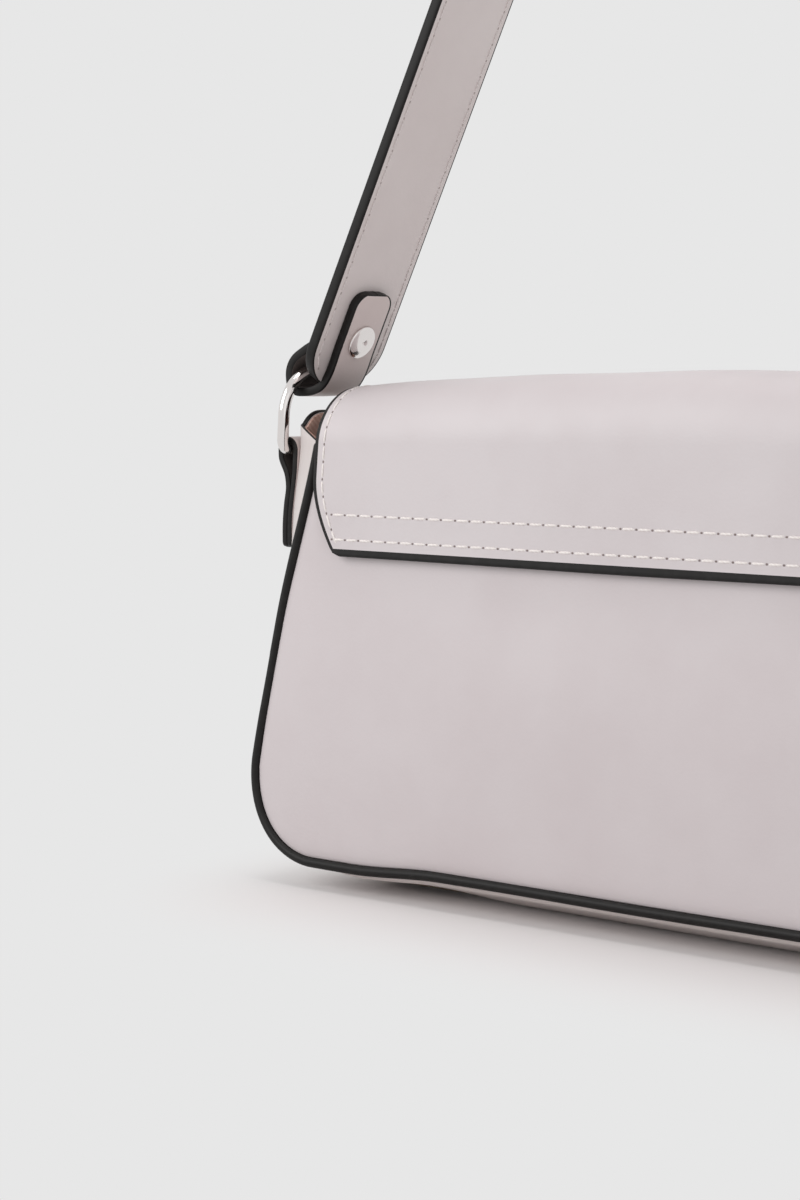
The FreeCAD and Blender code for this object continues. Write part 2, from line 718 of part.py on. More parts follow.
strap_body = new_body("strap_band")
strap_top = "strap_apex + strap_thick"
strap_half = [
    ("strap_foot_half", "strap_foot"),
    ("(strap_foot_half + strap_thick * cos(strap_lean))", "strap_foot + strap_thick * sin(strap_lean)"),
    (leg("strap_thick", strap_top), strap_top),
]
strap_inside = (leg("0", "strap_apex"), "strap_apex")
strap_outline = [
    strap_half[0], strap_half[1], strap_half[2],
    (f"-{strap_half[2][0]}", strap_half[2][1]),
    (f"-{strap_half[1][0]}", strap_half[1][1]),
    (f"-{strap_half[0][0]}", strap_half[0][1]),
    (f"-{strap_inside[0]}", strap_inside[1]),
    strap_inside,
]
strap_sketch = new_sketch(strap_body, "strapOutline", "XZ_Plane")
draw_polygon(strap_sketch, strap_outline)
add_pad(strap_body, strap_sketch, "strap_width")
add_fillet(strap_body, "xz", strap_outline[2:4], "strap_bend + strap_thick")
add_fillet(strap_body, "xz", strap_outline[6:8], "strap_bend")
round_end(strap_body, strap_outline[0], strap_outline[1], "strap_end_radius")
round_end(strap_body, strap_outline[4], strap_outline[5], "strap_end_radius")


def make_tongue(label, sign):
    """Make the strip that grips one end of the strap and folds round the ring."""
    body = new_body(label)
    middle = "ring_half"
    room = "(ring_wire / 2 + ring_room)"
    near = f"({middle} - {room})"
    far = f"({middle} + {room})"
    fold = "tongue_fold"
    under = "tongue_fold - tongue_thick"
    inner_face = "seat_gap + tongue_thick"
    outer_face = "strap_thick + seat_gap + tongue_thick"
    outline = [
        (leg("-seat_gap", "tongue_inner_top"), "tongue_inner_top"),
        (leg(f"-({inner_face})", "tongue_inner_top"), "tongue_inner_top"),
        (leg(f"-({inner_face})", "strap_foot"), "strap_foot"),
        (f"({near} - tongue_thick)", under),
        (f"({far} + tongue_thick)", under),
        (f"({far} + tongue_thick)", "tongue_shoulder"),
        (leg(outer_face, "tongue_merge"), "tongue_merge"),
        (leg(outer_face, "tongue_outer_top"), "tongue_outer_top"),
        (leg("strap_thick + seat_gap", "tongue_outer_top"), "tongue_outer_top"),
        (leg("strap_thick + seat_gap", "tongue_merge - tongue_thick / 2"), "tongue_merge - tongue_thick / 2"),
        (far, "tongue_shoulder - tongue_thick / 2"),
        (far, fold),
        (near, fold),
        (leg("-seat_gap", "strap_foot - seat_gap"), "strap_foot - seat_gap"),
    ]
    outline = [(f"{sign} * {x}", y) for x, y in outline]
    sketch = new_sketch(body, label + "Outline", "XZ_Plane")
    draw_polygon(sketch, outline)
    add_pad(body, sketch, "2 * tongue_half_width")
    round_end(body, outline[0], outline[1], "tongue_end_radius")
    round_end(body, outline[7], outline[8], "tongue_end_radius")
    add_fillet(body, "xz", outline[3:5], "tongue_thick + ring_wire / 2")
    add_fillet(body, "xz", outline[11:13], "ring_wire / 2")
    return body


left_tongue_body = make_tongue("left_tongue_leather", "-1")
right_tongue_body = make_tongue("right_tongue_leather", "1")


# Rivets: a head on each side of the stack of leather, and a shank through it.
STACK = "(strap_thick + 2 * tongue_thick + 2 * seat_gap)"


def set_on_leg(piece, sign):
    """Stand a piece drawn along Z square to the strap's leg, its middle in the strap."""
    piece.Placement = FreeCAD.Placement(vec(0, 0, 0), FreeCAD.Rotation(vec(0, sign, 0), 90 - size("strap_lean")))
    piece.setExpression("Placement.Rotation.Angle", bound("90 - strap_lean"))
    piece.setExpression("Placement.Base.x", bound(f"{sign} * {leg('strap_thick / 2', 'rivet_height')}"))
    piece.setExpression("Placement.Base.z", bound("rivet_height"))


def make_rivet(label, sign):
    """Make a rivet by turning its half section."""
    body = new_body(label)
    sketch = new_sketch(body, label + "Section", "XZ_Plane")
    reach = f"({STACK} / 2 + seat_gap)"
    draw_polygon(sketch, [
        ("0", f"-{reach} - rivet_head_thick"),
        ("rivet_head / 2", f"-{reach} - rivet_head_thick"),
        ("rivet_head / 2", f"-{reach}"),
        ("rivet_shank / 2", f"-{reach}"),
        ("rivet_shank / 2", reach),
        ("rivet_head / 2", reach),
        ("rivet_head / 2", f"{reach} + rivet_head_thick"),
        ("0", f"{reach} + rivet_head_thick"),
    ])
    turned = body.newObject("PartDesign::Revolution", label + "Turned")
    turned.Profile = sketch
    turned.ReferenceAxis = (sketch, ["V_Axis"])
    turned.Angle = 360
    doc.recompute()
    set_on_leg(body, sign)
    return body


def make_bore(label, sign):
    """Make the hole for a rivet's shank."""
    tool = doc.addObject("Part::Cylinder", label)
    tool.setExpression("Radius", bound("rivet_shank / 2 + seat_gap"))
    tool.setExpression("Height", bound(f"{STACK} + 2 * cut_overrun"))
    set_on_leg(tool, sign)
    half = f"({STACK} / 2 + cut_overrun)"
    tool.setExpression("Placement.Base.x", bound(
        f"{sign} * ({leg('strap_thick / 2', 'rivet_height')} - {half} * cos(strap_lean))"))
    tool.setExpression("Placement.Base.z", bound(f"rivet_height - {half} * sin(strap_lean)"))
    return tool


left_rivet = make_rivet("left_rivet", -1)
right_rivet = make_rivet("right_rivet", 1)
left_bore = make_bore("left_bore", -1)
right_bore = make_bore("right_bore", 1)
left_tongue = make_cut("left_strap_tongue", left_tongue_body, left_bore)
right_tongue = make_cut("right_strap_tongue", right_tongue_body, right_bore)
strap_once = make_cut("strap_once_bored", strap_body, left_bore)
strap = make_cut("strap", strap_once, right_bore)

PIECES = [
    back_panel, front_panel, left_gusset, bottom_gusset, right_gusset, back_piping, front_piping,
    back_lining, front_lining, gusset_lining, base_board, panel_snap,
    flap_back, flap_front, flap_lining, flap_snap,
    left_tab, right_tab, left_ring, right_ring,
    strap, left_tongue, right_tongue, left_rivet, right_rivet,
]

doc.recompute()
for item in doc.Objects:
    if "Invalid" in item.State or "Error" in item.State:
        raise RuntimeError(f"{item.Name} failed: {item.State}")
for piece in PIECES:
    if piece.Shape.isNull() or not piece.Shape.isValid() or len(piece.Shape.Solids) != 1:
        raise RuntimeError(f"{piece.Label} is not one sound solid")

os.makedirs("parts", exist_ok=True)
for piece in PIECES:
    piece.Shape.exportStep(f"parts/{piece.Label}.step")
    box = piece.Shape.BoundBox
    print(f"{piece.Label}: {piece.Shape.Volume:.0f} mm3, x {box.XMin:.1f}..{box.XMax:.1f}, "
          f"y {box.YMin:.1f}..{box.YMax:.1f}, z {box.ZMin:.2f}..{box.ZMax:.2f}")
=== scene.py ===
"""Leather baguette bag with a flap, piping, D-rings and a riveted shoulder strap."""
import logging
import math
from dataclasses import dataclass, field
from enum import Enum

import bmesh
import bpy
import numpy as np
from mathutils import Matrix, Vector

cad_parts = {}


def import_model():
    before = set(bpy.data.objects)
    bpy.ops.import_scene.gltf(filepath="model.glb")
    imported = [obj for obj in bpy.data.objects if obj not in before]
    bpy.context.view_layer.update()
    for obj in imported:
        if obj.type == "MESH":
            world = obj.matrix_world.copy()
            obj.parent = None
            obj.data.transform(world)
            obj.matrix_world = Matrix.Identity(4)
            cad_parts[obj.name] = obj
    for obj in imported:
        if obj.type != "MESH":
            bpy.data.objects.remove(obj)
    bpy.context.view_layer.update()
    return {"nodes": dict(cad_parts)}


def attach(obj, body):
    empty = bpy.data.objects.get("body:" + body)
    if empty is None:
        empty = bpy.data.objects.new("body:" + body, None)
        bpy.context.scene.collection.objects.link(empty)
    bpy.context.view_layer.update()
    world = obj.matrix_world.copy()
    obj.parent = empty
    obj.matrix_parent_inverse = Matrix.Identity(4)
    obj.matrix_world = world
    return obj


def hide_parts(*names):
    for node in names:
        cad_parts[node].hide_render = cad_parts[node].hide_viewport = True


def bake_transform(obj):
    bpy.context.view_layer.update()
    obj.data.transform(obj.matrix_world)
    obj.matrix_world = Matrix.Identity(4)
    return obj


LOG = logging.getLogger("bag")
MM = 0.001
FRAME_PIXELS = (800, 1200)

# Points nearer than this are merged, and shorter edges dissolved, in millimetres.
WELD_MM = 0.002
SHORT_EDGE_MM = 0.001

# A narrow strip has two short rows of faces at each end, up to these distances; the outer is painted.
STRIP_ENDS = (0.4, 0.9)

# The middle of each end stands out below the ring: how far, from which height, eased over how much.
RIDGE_SWELL = 2.4
RIDGE_SWELL_TOP = 122.0
RIDGE_SWELL_EASE = 22.0

# A stitch is a row of rings: each ring's place along it, its share of the radius, and its height.
STITCH_ALONG = np.array([-0.5, -0.44, -0.25, 0.25, 0.44, 0.5])
STITCH_SWELL = np.array([0.35, 0.8, 1.0, 1.0, 0.8, 0.35])
STITCH_DIP = np.array([-0.75, -0.2, 0.15, 0.15, -0.2, -0.75])
STITCH_SIDES = 6


class End(Enum):
    """The two ends of the bag, as seen from its back."""

    LEFT = -1
    RIGHT = 1


class Face(Enum):
    """The two broad sides of the bag."""

    BACK = -1
    FRONT = 1


class Part(Enum):
    """What a face of a leather strip shows: its surface, its underside or its painted edge."""

    TOP = 0
    UNDER = 1
    EDGE = 2


def linear(code: str) -> tuple[float, float, float, float]:
    """Turn an sRGB hex code into linear colour.

    Args:
        code: The colour as six hex digits with a leading hash.

    Returns:
        Red, green, blue and an alpha of 1.
    """
    parts = [int(code[i:i + 2], 16) / 255 for i in (1, 3, 5)]
    out = [p / 12.92 if p <= 0.04045 else ((p + 0.055) / 1.055) ** 2.4 for p in parts]
    return out[0], out[1], out[2], 1.0


def add_node(tree: bpy.types.NodeTree, kind: str, settings: dict | None = None,
             inputs: dict | None = None) -> bpy.types.Node:
    """Add a node, set its properties, and fill or link its inputs.

    Args:
        tree: The node tree.
        kind: The node's type name.
        settings: Properties of the node by name.
        inputs: Input sockets by name or number; a socket as value is linked, anything else is set.

    Returns:
        The new node.
    """
    node = tree.nodes.new(kind)
    for name, value in (settings or {}).items():
        setattr(node, name, value)
    for name, value in (inputs or {}).items():
        if isinstance(value, bpy.types.NodeSocket):
            tree.links.new(value, node.inputs[name])
        else:
            node.inputs[name].default_value = value
    return node


def new_material(name: str) -> tuple[bpy.types.Material, bpy.types.NodeTree, bpy.types.Node]:
    """Make an empty node material.

    Args:
        name: The material's name.

    Returns:
        The material, its tree and its output node.
    """
    material = bpy.data.materials.new(name)
    material.use_nodes = True
    tree = material.node_tree
    tree.nodes.clear()
    return material, tree, tree.nodes.new("ShaderNodeOutputMaterial")


@dataclass(frozen=True)
class CalfLeather:
    """Smooth corrected calf leather, finished with a pigmented coat and pressed flat.

    It shows an even colour with faint clouding, a satin sheen and a fine pebble that only the
    highlight brings out. The pebble is drawn coarser than life, so that it shows.
    """

    name: str
    colour: str
    cloud: str
    rough: float = 0.46
    pebble_mm: float = 0.9
    pebble_depth_mm: float = 0.05
    cloud_mm: float = 38.0
    wrinkle_mm: float = 7.0

    def build(self) -> bpy.types.Material:
        """Build the nodes: clouds of tone and gloss, and the pebble with fine wrinkles as a bump.

        Returns:
            The leather's material.
        """
        material, tree, out = new_material(self.name)
        place = add_node(tree, "ShaderNodeTexCoord").outputs["Object"]
        clouds = add_node(tree, "ShaderNodeTexNoise", inputs={
            "Vector": place, "Scale": 1 / (self.cloud_mm * MM), "Detail": 4.0, "Roughness": 0.55})
        tone = add_node(tree, "ShaderNodeValToRGB", inputs={"Fac": clouds.outputs["Fac"]})
        dark, light = tone.color_ramp.elements
        dark.position, light.position = 0.34, 0.62
        dark.color, light.color = linear(self.cloud), linear(self.colour)
        gloss = add_node(tree, "ShaderNodeMapRange", inputs={
            "Value": clouds.outputs["Fac"], "From Min": 0.3, "From Max": 0.7,
            "To Min": self.rough + 0.05, "To Max": self.rough - 0.04})
        cells = add_node(tree, "ShaderNodeTexVoronoi", {"feature": "SMOOTH_F1"}, {
            "Vector": place, "Scale": 1 / (self.pebble_mm * MM), "Smoothness": 0.6})
        wrinkle = add_node(tree, "ShaderNodeTexNoise", inputs={
            "Vector": place, "Scale": 1 / (self.wrinkle_mm * MM), "Detail": 3.0})
        height = add_node(tree, "ShaderNodeMath", {"operation": "MULTIPLY_ADD"}, {
            0: wrinkle.outputs["Fac"], 1: 1.4, 2: cells.outputs["Distance"]})
        bump = add_node(tree, "ShaderNodeBump", inputs={
            "Strength": 0.35, "Distance": self.pebble_depth_mm * MM, "Height": height.outputs[0]})
        shader = add_node(tree, "ShaderNodeBsdfPrincipled", inputs={
            "Base Color": tone.outputs["Color"], "Roughness": gloss.outputs["Result"],
            "IOR": 1.48, "Normal": bump.outputs["Normal"], "Sheen Weight": 0.06,
            "Sheen Roughness": 0.4})
        tree.links.new(shader.outputs["BSDF"], out.inputs["Surface"])
        return material


@dataclass(frozen=True)
class EdgePaint:
    """Edge paint: several coats of pigmented resin, burnished, with a soft uneven shine."""

    name: str
    colour: str
    worn: str
    rough: float = 0.36
    ior: float = 1.32
    coat_mm: float = 2.2
    coat_depth_mm: float = 0.06

    def build(self) -> bpy.types.Material:
        """Build the nodes: one noise for the coats' tone, their shine and their unevenness.

        Returns:
            The paint's material.
        """
        material, tree, out = new_material(self.name)
        place = add_node(tree, "ShaderNodeTexCoord").outputs["Object"]
        coat = add_node(tree, "ShaderNodeTexNoise", inputs={
            "Vector": place, "Scale": 1 / (self.coat_mm * MM), "Detail": 3.0})
        tone = add_node(tree, "ShaderNodeValToRGB", inputs={"Fac": coat.outputs["Fac"]})
        full, thin = tone.color_ramp.elements
        full.position, thin.position = 0.45, 0.8
        full.color, thin.color = linear(self.colour), linear(self.worn)
        bump = add_node(tree, "ShaderNodeBump", inputs={
            "Strength": 0.3, "Distance": self.coat_depth_mm * MM, "Height": coat.outputs["Fac"]})
        gloss = add_node(tree, "ShaderNodeMapRange", inputs={
            "Value": coat.outputs["Fac"], "To Min": self.rough - 0.08, "To Max": self.rough + 0.1})
        shader = add_node(tree, "ShaderNodeBsdfPrincipled", inputs={
            "Base Color": tone.outputs["Color"], "Roughness": gloss.outputs["Result"],
            "IOR": self.ior, "Normal": bump.outputs["Normal"]})
        tree.links.new(shader.outputs["BSDF"], out.inputs["Surface"])
        return material


@dataclass(frozen=True)
class PolishedSteel:
    """Nickel-plated steel, buffed to a mirror with faint haze from handling."""

    name: str
    colour: str
    rough: float = 0.07
    haze_mm: float = 3.0

    def build(self) -> bpy.types.Material:
        """Build the nodes: a noise for the haze, which dulls the mirror a little.

        Returns:
            The metal's material.
        """
        material, tree, out = new_material(self.name)
        place = add_node(tree, "ShaderNodeTexCoord").outputs["Object"]
        haze = add_node(tree, "ShaderNodeTexNoise", inputs={
            "Vector": place, "Scale": 1 / (self.haze_mm * MM), "Detail": 5.0})
        gloss = add_node(tree, "ShaderNodeMapRange", inputs={
            "Value": haze.outputs["Fac"], "From Min": 0.35, "From Max": 0.75,
            "To Min": self.rough, "To Max": self.rough + 0.1})
        shader = add_node(tree, "ShaderNodeBsdfPrincipled", inputs={
            "Base Color": linear(self.colour), "Metallic": 1.0, "Roughness": gloss.outputs["Result"]})
        tree.links.new(shader.outputs["BSDF"], out.inputs["Surface"])
        return material


@dataclass(frozen=True)
class Cloth:
    """A woven or twisted yarn: plain matt fibres whose twill or twist shows as fine ridges."""

    name: str
    colour: str
    shade: str
    thread_mm: float
    rough: float = 0.8
    # With this factor the texture's ridges stand about two threads apart.
    ridge_scale: float = 6.28

    def build(self) -> bpy.types.Material:
        """Build the nodes: diagonal waves for the ridges, as tone and as a bump.

        Returns:
            The cloth's material.
        """
        material, tree, out = new_material(self.name)
        place = add_node(tree, "ShaderNodeTexCoord").outputs["Object"]
        weave = add_node(tree, "ShaderNodeTexWave", {"bands_direction": "DIAGONAL"}, {
            "Vector": place, "Scale": 1 / (self.ridge_scale * self.thread_mm * MM), "Distortion": 0.6,
            "Detail": 1.0})
        tone = add_node(tree, "ShaderNodeMix", {"data_type": "RGBA"}, {
            0: weave.outputs["Fac"], 6: linear(self.shade), 7: linear(self.colour)})
        bump = add_node(tree, "ShaderNodeBump", inputs={
            "Strength": 0.4, "Distance": 0.3 * self.thread_mm * MM, "Height": weave.outputs["Fac"]})
        shader = add_node(tree, "ShaderNodeBsdfPrincipled", inputs={
            "Base Color": tone.outputs[2], "Roughness": self.rough, "Normal": bump.outputs["Normal"],
            "Sheen Weight": 0.2})
        tree.links.new(shader.outputs["BSDF"], out.inputs["Surface"])
        return material


@dataclass(frozen=True)
class Finishes:
    """Every material of the bag."""

    panel: bpy.types.Material
    flap: bpy.types.Material
    strap: bpy.types.Material
    tongue: bpy.types.Material
    flesh: bpy.types.Material
    gusset: bpy.types.Material
    paint: bpy.types.Material
    piping: bpy.types.Material
    steel: bpy.types.Material
    thread: bpy.types.Material
    hole: bpy.types.Material
    strap_hole: bpy.types.Material
    strap_thread: bpy.types.Material
    lining: bpy.types.Material
    board: bpy.types.Material

    @classmethod
    def made(cls) -> "Finishes":
        """Build every material once.

        Returns:
            The materials by name.
        """
        return cls(
            panel=CalfLeather("calf_leather_panel", "#D0C7C8", "#CCC2C3").build(),
            flap=CalfLeather("calf_leather_flap", "#D1C9CA", "#CDC4C5").build(),
            # The strap's colour is lighter than the body's leather: painted light that lifts the shade on
            # the strap.
            strap=CalfLeather("calf_leather_strap_painted_fill", "#DED4D2", "#D9CECC").build(),
            tongue=CalfLeather("calf_leather_tongue", "#D9CBC8", "#D4C5C2").build(),
            # The dark flesh side is partly the leather's own back and partly painted shade for the shaded
            # inside of the loops.
            flesh=CalfLeather("calf_leather_flesh_side", "#4A423F", "#413936", 0.7).build(),
            gusset=CalfLeather("calf_leather_gusset", "#D6CDCA", "#D2C8C5").build(),
            paint=EdgePaint("black_edge_paint", "#141211", "#201E1D", 0.46).build(),
            piping=EdgePaint("black_leather_piping", "#151312", "#211F1E", 0.48).build(),
            steel=PolishedSteel("polished_nickel", "#E9E4E2").build(),
            thread=Cloth("waxed_thread", "#F3ECE8", "#EAE1DD", 0.35, 0.6).build(),
            # The needle holes' darker colours are painted shade in the holes, on marks that barely sink into
            # the leather.
            hole=EdgePaint("needle_hole_painted_shade", "#857875", "#938683", 0.8).build(),
            strap_hole=EdgePaint("strap_needle_hole", "#B3A7A4", "#BDB1AE", 0.8).build(),
            strap_thread=Cloth("strap_thread", "#E4DBD9", "#D8CDCB", 0.35, 0.6).build(),
            lining=Cloth("peach_twill_lining", "#DDB6A6", "#CFA292", 0.5).build(),
            board=Cloth("grey_board", "#8C7B69", "#7C6C5B", 0.8).build())


def smooth(t: np.ndarray) -> np.ndarray:
    """Ease from 0 to 1: three t squared less two t cubed, with t held between 0 and 1."""
    t = np.clip(t, 0, 1)
    return t * t * (3 - 2 * t)


def eased(value: np.ndarray, start: float, over: float) -> np.ndarray:
    """Ease from 0 at a start to 1 at a distance past it, or before it where that is negative."""
    return smooth((value - start) / over)


def unit(v: np.ndarray) -> np.ndarray:
    """Scale vectors along the last axis to length 1."""
    return v / np.maximum(np.linalg.norm(v, axis=-1, keepdims=True), 1e-9)


def left_of(way: np.ndarray) -> np.ndarray:
    """Turn directions in a plane by a quarter turn to the left."""
    return np.stack([-way[:, 1], way[:, 0]], axis=1)


def length_of(points: np.ndarray) -> float:
    """Return the length of a polyline."""
    return float(np.linalg.norm(np.diff(points, axis=0), axis=1).sum())


def resample(points: np.ndarray, places: np.ndarray, values: np.ndarray | None = None) -> np.ndarray:
    """Return points, or values that belong to them, at distances along a polyline.

    Args:
        points: The polyline, shape (n, k).
        places: Distances from its start.
        values: What to read in place of the points, one row for each of them.

    Returns:
        The points or values there, found by straight interpolation.
    """
    run = np.concatenate([[0], np.cumsum(np.linalg.norm(np.diff(points, axis=0), axis=1))])
    columns = (points if values is None else values).T
    return np.stack([np.interp(places, run, column) for column in columns], axis=1)


def ways_along(line: np.ndarray, places: np.ndarray, reach: float) -> np.ndarray:
    """Return a polyline's directions: from a little behind each place to a little ahead of it.

    Args:
        line: The polyline, shape (n, k).
        places: Distances from its start.
        reach: How far behind and ahead to look.

    Returns:
        Unit vectors, one for each place.
    """
    run = length_of(line)
    ahead = resample(line, np.clip(places + reach, 0, run))
    return unit(ahead - resample(line, np.clip(places - reach, 0, run)))


def corner_cut(distance: np.ndarray, radius: float) -> np.ndarray:
    """Return what a round corner takes off a strip's half width: the radius less a quarter circle.

    Args:
        distance: Distances from the strip's end.
        radius: The corner's radius.

    Returns:
        The cuts, which are zero past the corner.
    """
    left = 1 - np.clip(distance / radius, 0, 1)
    return radius * (1 - np.sqrt(1 - left ** 2))


def strip_stations(line: np.ndarray, count: int, reach: float, half: float,
                   end_round: float) -> tuple[np.ndarray, np.ndarray, np.ndarray]:
    """Set stations along a strip with round corners, closer together at its two ends.

    Args:
        line: The strip's middle line, shape (n, 2).
        count: Stations between the two ends.
        reach: How far behind and ahead the direction is read.
        half: Half the strip's width.
        end_round: Radius of its corners.

    Returns:
        The stations' points, their normals to the left and the half widths there.
    """
    run = length_of(line)
    rim, inner = STRIP_ENDS
    places = np.concatenate([[0, rim], np.linspace(inner, run - inner, count), [run - rim, run]])
    width = half - corner_cut(np.minimum(places, run - places), end_round)
    return resample(line, places), left_of(ways_along(line, places, reach)), width


def spread_across(half: np.ndarray, margin: float, count: int) -> np.ndarray:
    """Set places across a strip: shares of the inner half width, and a margin in two steps beside it.

    Args:
        half: Half widths at the stations.
        margin: Width of the margin at each side.
        count: Places between the margins.

    Returns:
        Places across, shape (count + 4, stations).
    """
    share = np.concatenate([[-1, -1], np.linspace(-1, 1, count), [1, 1]])
    pad = np.concatenate([[-margin, -margin / 2], np.zeros(count), [margin / 2, margin]])
    return share[:, None] * (half - margin)[None] + pad[:, None]


def raised(points: np.ndarray, normal: np.ndarray, across: np.ndarray,
           offset: np.ndarray | float) -> np.ndarray:
    """Raise a strip off its middle line: the line's points plus the offset along their normals.

    Args:
        points: The line's points along and up the bag, shape (n, 2).
        normal: Their normals.
        across: Places across the bag, with a last axis of n.
        offset: How far to go along the normals.

    Returns:
        The points, with a last axis of 3.
    """
    x, z = points[:, 0] + normal[:, 0] * offset, points[:, 1] + normal[:, 1] * offset
    return np.stack(np.broadcast_arrays(x, across, z), axis=-1)


def curve_through(points: list[tuple[float, float]], steps: int = 24) -> np.ndarray:
    """Carry a smooth line through points, as a centripetal Catmull-Rom spline.

    Args:
        points: Places in a plane, at least three.
        steps: Samples between two places.

    Returns:
        The line's points, shape (m, 2).
    """
    p = np.array(points, float)
    p = np.vstack([2 * p[0] - p[1], p, 2 * p[-1] - p[-2]])
    knots = np.concatenate([[0], np.cumsum(np.sqrt(np.linalg.norm(np.diff(p, axis=0), axis=1)))])
    a, b, c, d = p[:-3, None], p[1:-2, None], p[2:-1, None], p[3:, None]
    ka, kb, kc, kd = (knots[i:len(knots) - 3 + i, None, None] for i in range(4))
    t = kb + (kc - kb) * np.linspace(0, 1, steps, endpoint=False)[None, :, None]
    ab = (kb - t) / (kb - ka) * a + (t - ka) / (kb - ka) * b
    bc = (kc - t) / (kc - kb) * b + (t - kb) / (kc - kb) * c
    cd = (kd - t) / (kd - kc) * c + (t - kc) / (kd - kc) * d
    abc = (kc - t) / (kc - ka) * ab + (t - ka) / (kc - ka) * bc
    bcd = (kd - t) / (kd - kb) * bc + (t - kb) / (kd - kb) * cd
    line = (kc - t) / (kc - kb) * abc + (t - kb) / (kc - kb) * bcd
    return np.vstack([line.reshape(-1, 2), p[-2]])


def ring_quads(here: np.ndarray, ahead: np.ndarray) -> np.ndarray:
    """Return the faces between rings of points and the rings that follow them.

    Args:
        here: Point numbers, one row for each ring.
        ahead: Point numbers of the rings that follow.

    Returns:
        Corner numbers, shape (m, 4).
    """
    faces = np.stack([here, np.roll(here, -1, 1), np.roll(ahead, -1, 1), ahead], axis=-1)
    return faces.reshape(-1, 4)


def merge_doubles(mesh: bpy.types.Mesh) -> None:
    """Merge points of a mesh that coincide, and dissolve the empty faces that this leaves.

    Args:
        mesh: The mesh to change.
    """
    bm = bmesh.new()
    bm.from_mesh(mesh)
    bmesh.ops.remove_doubles(bm, verts=bm.verts, dist=WELD_MM * MM)
    bmesh.ops.dissolve_degenerate(bm, edges=bm.edges, dist=SHORT_EDGE_MM * MM)
    bm.to_mesh(mesh)
    bm.free()


def put_mesh(name: str, verts: np.ndarray, quads: np.ndarray, tags: np.ndarray,
             materials: list[bpy.types.Material], weld: bool = False) -> bpy.types.Object:
    """Make a smooth-shaded object from millimetre points, with its faces outwards.

    The faces are turned round where the volume that they enclose comes out negative: the sum, over
    the faces, of the first corner's dot product with the cross products of the corners after it.

    Args:
        name: The piece's name.
        verts: Points in millimetres, shape (n, 3).
        quads: Corner numbers, shape (m, 4).
        tags: Material number of each face.
        materials: The materials by number.
        weld: Whether points that coincide are merged.

    Returns:
        The object, at the origin.
    """
    a, b, c, d = (verts[quads[:, k]] for k in range(4))
    volume = np.einsum("ij,ij->", a, np.cross(b, c)) + np.einsum("ij,ij->", a, np.cross(c, d))
    if volume < 0:
        quads = quads[:, ::-1]
    mesh = bpy.data.meshes.new(name)
    mesh.vertices.add(len(verts))
    mesh.vertices.foreach_set("co", (verts * MM).ravel())
    mesh.loops.add(quads.size)
    mesh.loops.foreach_set("vertex_index", quads.ravel().astype(np.int32))
    mesh.polygons.add(len(quads))
    mesh.polygons.foreach_set("loop_start", np.arange(0, quads.size, 4, dtype=np.int32))
    mesh.polygons.foreach_set("material_index", tags.astype(np.int32))
    mesh.polygons.foreach_set("use_smooth", np.ones(len(quads), bool))
    mesh.update(calc_edges=True)
    if weld:
        merge_doubles(mesh)
    mesh.validate()
    for material in materials:
        mesh.materials.append(material)
    piece = bpy.data.objects.new(name, mesh)
    bpy.context.scene.collection.objects.link(piece)
    return piece


@dataclass
class Strip:
    """A closed piece of leather: a top surface, an underside and a rounded painted edge."""

    name: str
    top: np.ndarray
    under: np.ndarray
    materials: list[bpy.types.Material]
    painted_rows: tuple[int, int] = (0, 0)
    painted_columns: tuple[int, int] = (0, 0)
    edge_round_mm: float = 0.35
    edge_steps: int = 6
    paint_under: bool = False

    def face_tags(self) -> np.ndarray:
        """Tell the part that each face of the top shows: its surface, or paint along its rim.

        Returns:
            Numbers of the parts, one for each face.
        """
        rows, columns = self.top.shape[:2]
        tag = np.full((rows - 1, columns - 1), Part.TOP.value)
        low, high = self.painted_rows
        left, right = self.painted_columns
        tag[:low] = Part.EDGE.value
        tag[rows - 1 - high:] = Part.EDGE.value
        tag[:, :left] = Part.EDGE.value
        tag[:, columns - 1 - right:] = Part.EDGE.value
        return tag

    def build(self) -> bpy.types.Object:
        """Join the two grids round their rim.

        The rim's points lie on half an ellipse between the two surfaces: the middle, plus half the
        thickness times a cosine, plus the rounding times a sine outwards.

        Returns:
            The strip's object.
        """
        rows, columns = self.top.shape[:2]
        number = np.arange(rows * columns).reshape(rows, columns)
        ring = np.concatenate([number[:, 0], number[-1, 1:], number[-2::-1, -1], number[0, -2:0:-1]])
        inside = np.concatenate([number[:, 1], number[-2, 1:], number[-2::-1, -2], number[1, -2:0:-1]])
        top, under = self.top.reshape(-1, 3), self.under.reshape(-1, 3)
        middle = (top + under) / 2
        out = unit(middle[ring] - middle[inside])
        angle = np.pi * np.arange(1, self.edge_steps) / self.edge_steps
        half = (top[ring] - under[ring]) / 2
        rim = (middle[ring][None] + half[None] * np.cos(angle)[:, None, None]
               + out[None] * self.edge_round_mm * np.sin(angle)[:, None, None])
        verts = np.vstack([top, under, rim.reshape(-1, 3)])

        face = np.stack([number[:-1, :-1], number[1:, :-1], number[1:, 1:], number[:-1, 1:]], axis=-1)
        back = face[..., ::-1] + rows * columns
        count = len(ring)
        loops = [ring] + [2 * rows * columns + k * count + np.arange(count) for k in range(len(angle))]
        loops.append(ring + rows * columns)
        walls = [np.stack([np.roll(a, -1), a, b, np.roll(b, -1)], axis=1)
                 for a, b in zip(loops, loops[1:])]
        quads = np.vstack([face.reshape(-1, 4), back.reshape(-1, 4)] + walls)

        tag = self.face_tags()
        lapped = (tag == Part.EDGE.value) & self.paint_under
        under_tag = np.where(lapped, Part.EDGE.value, Part.UNDER.value)
        rim_tag = np.full(count * (len(loops) - 1), Part.EDGE.value)
        tags = np.concatenate([tag.ravel(), under_tag.ravel(), rim_tag])
        return put_mesh(self.name, verts, quads, tags, self.materials)


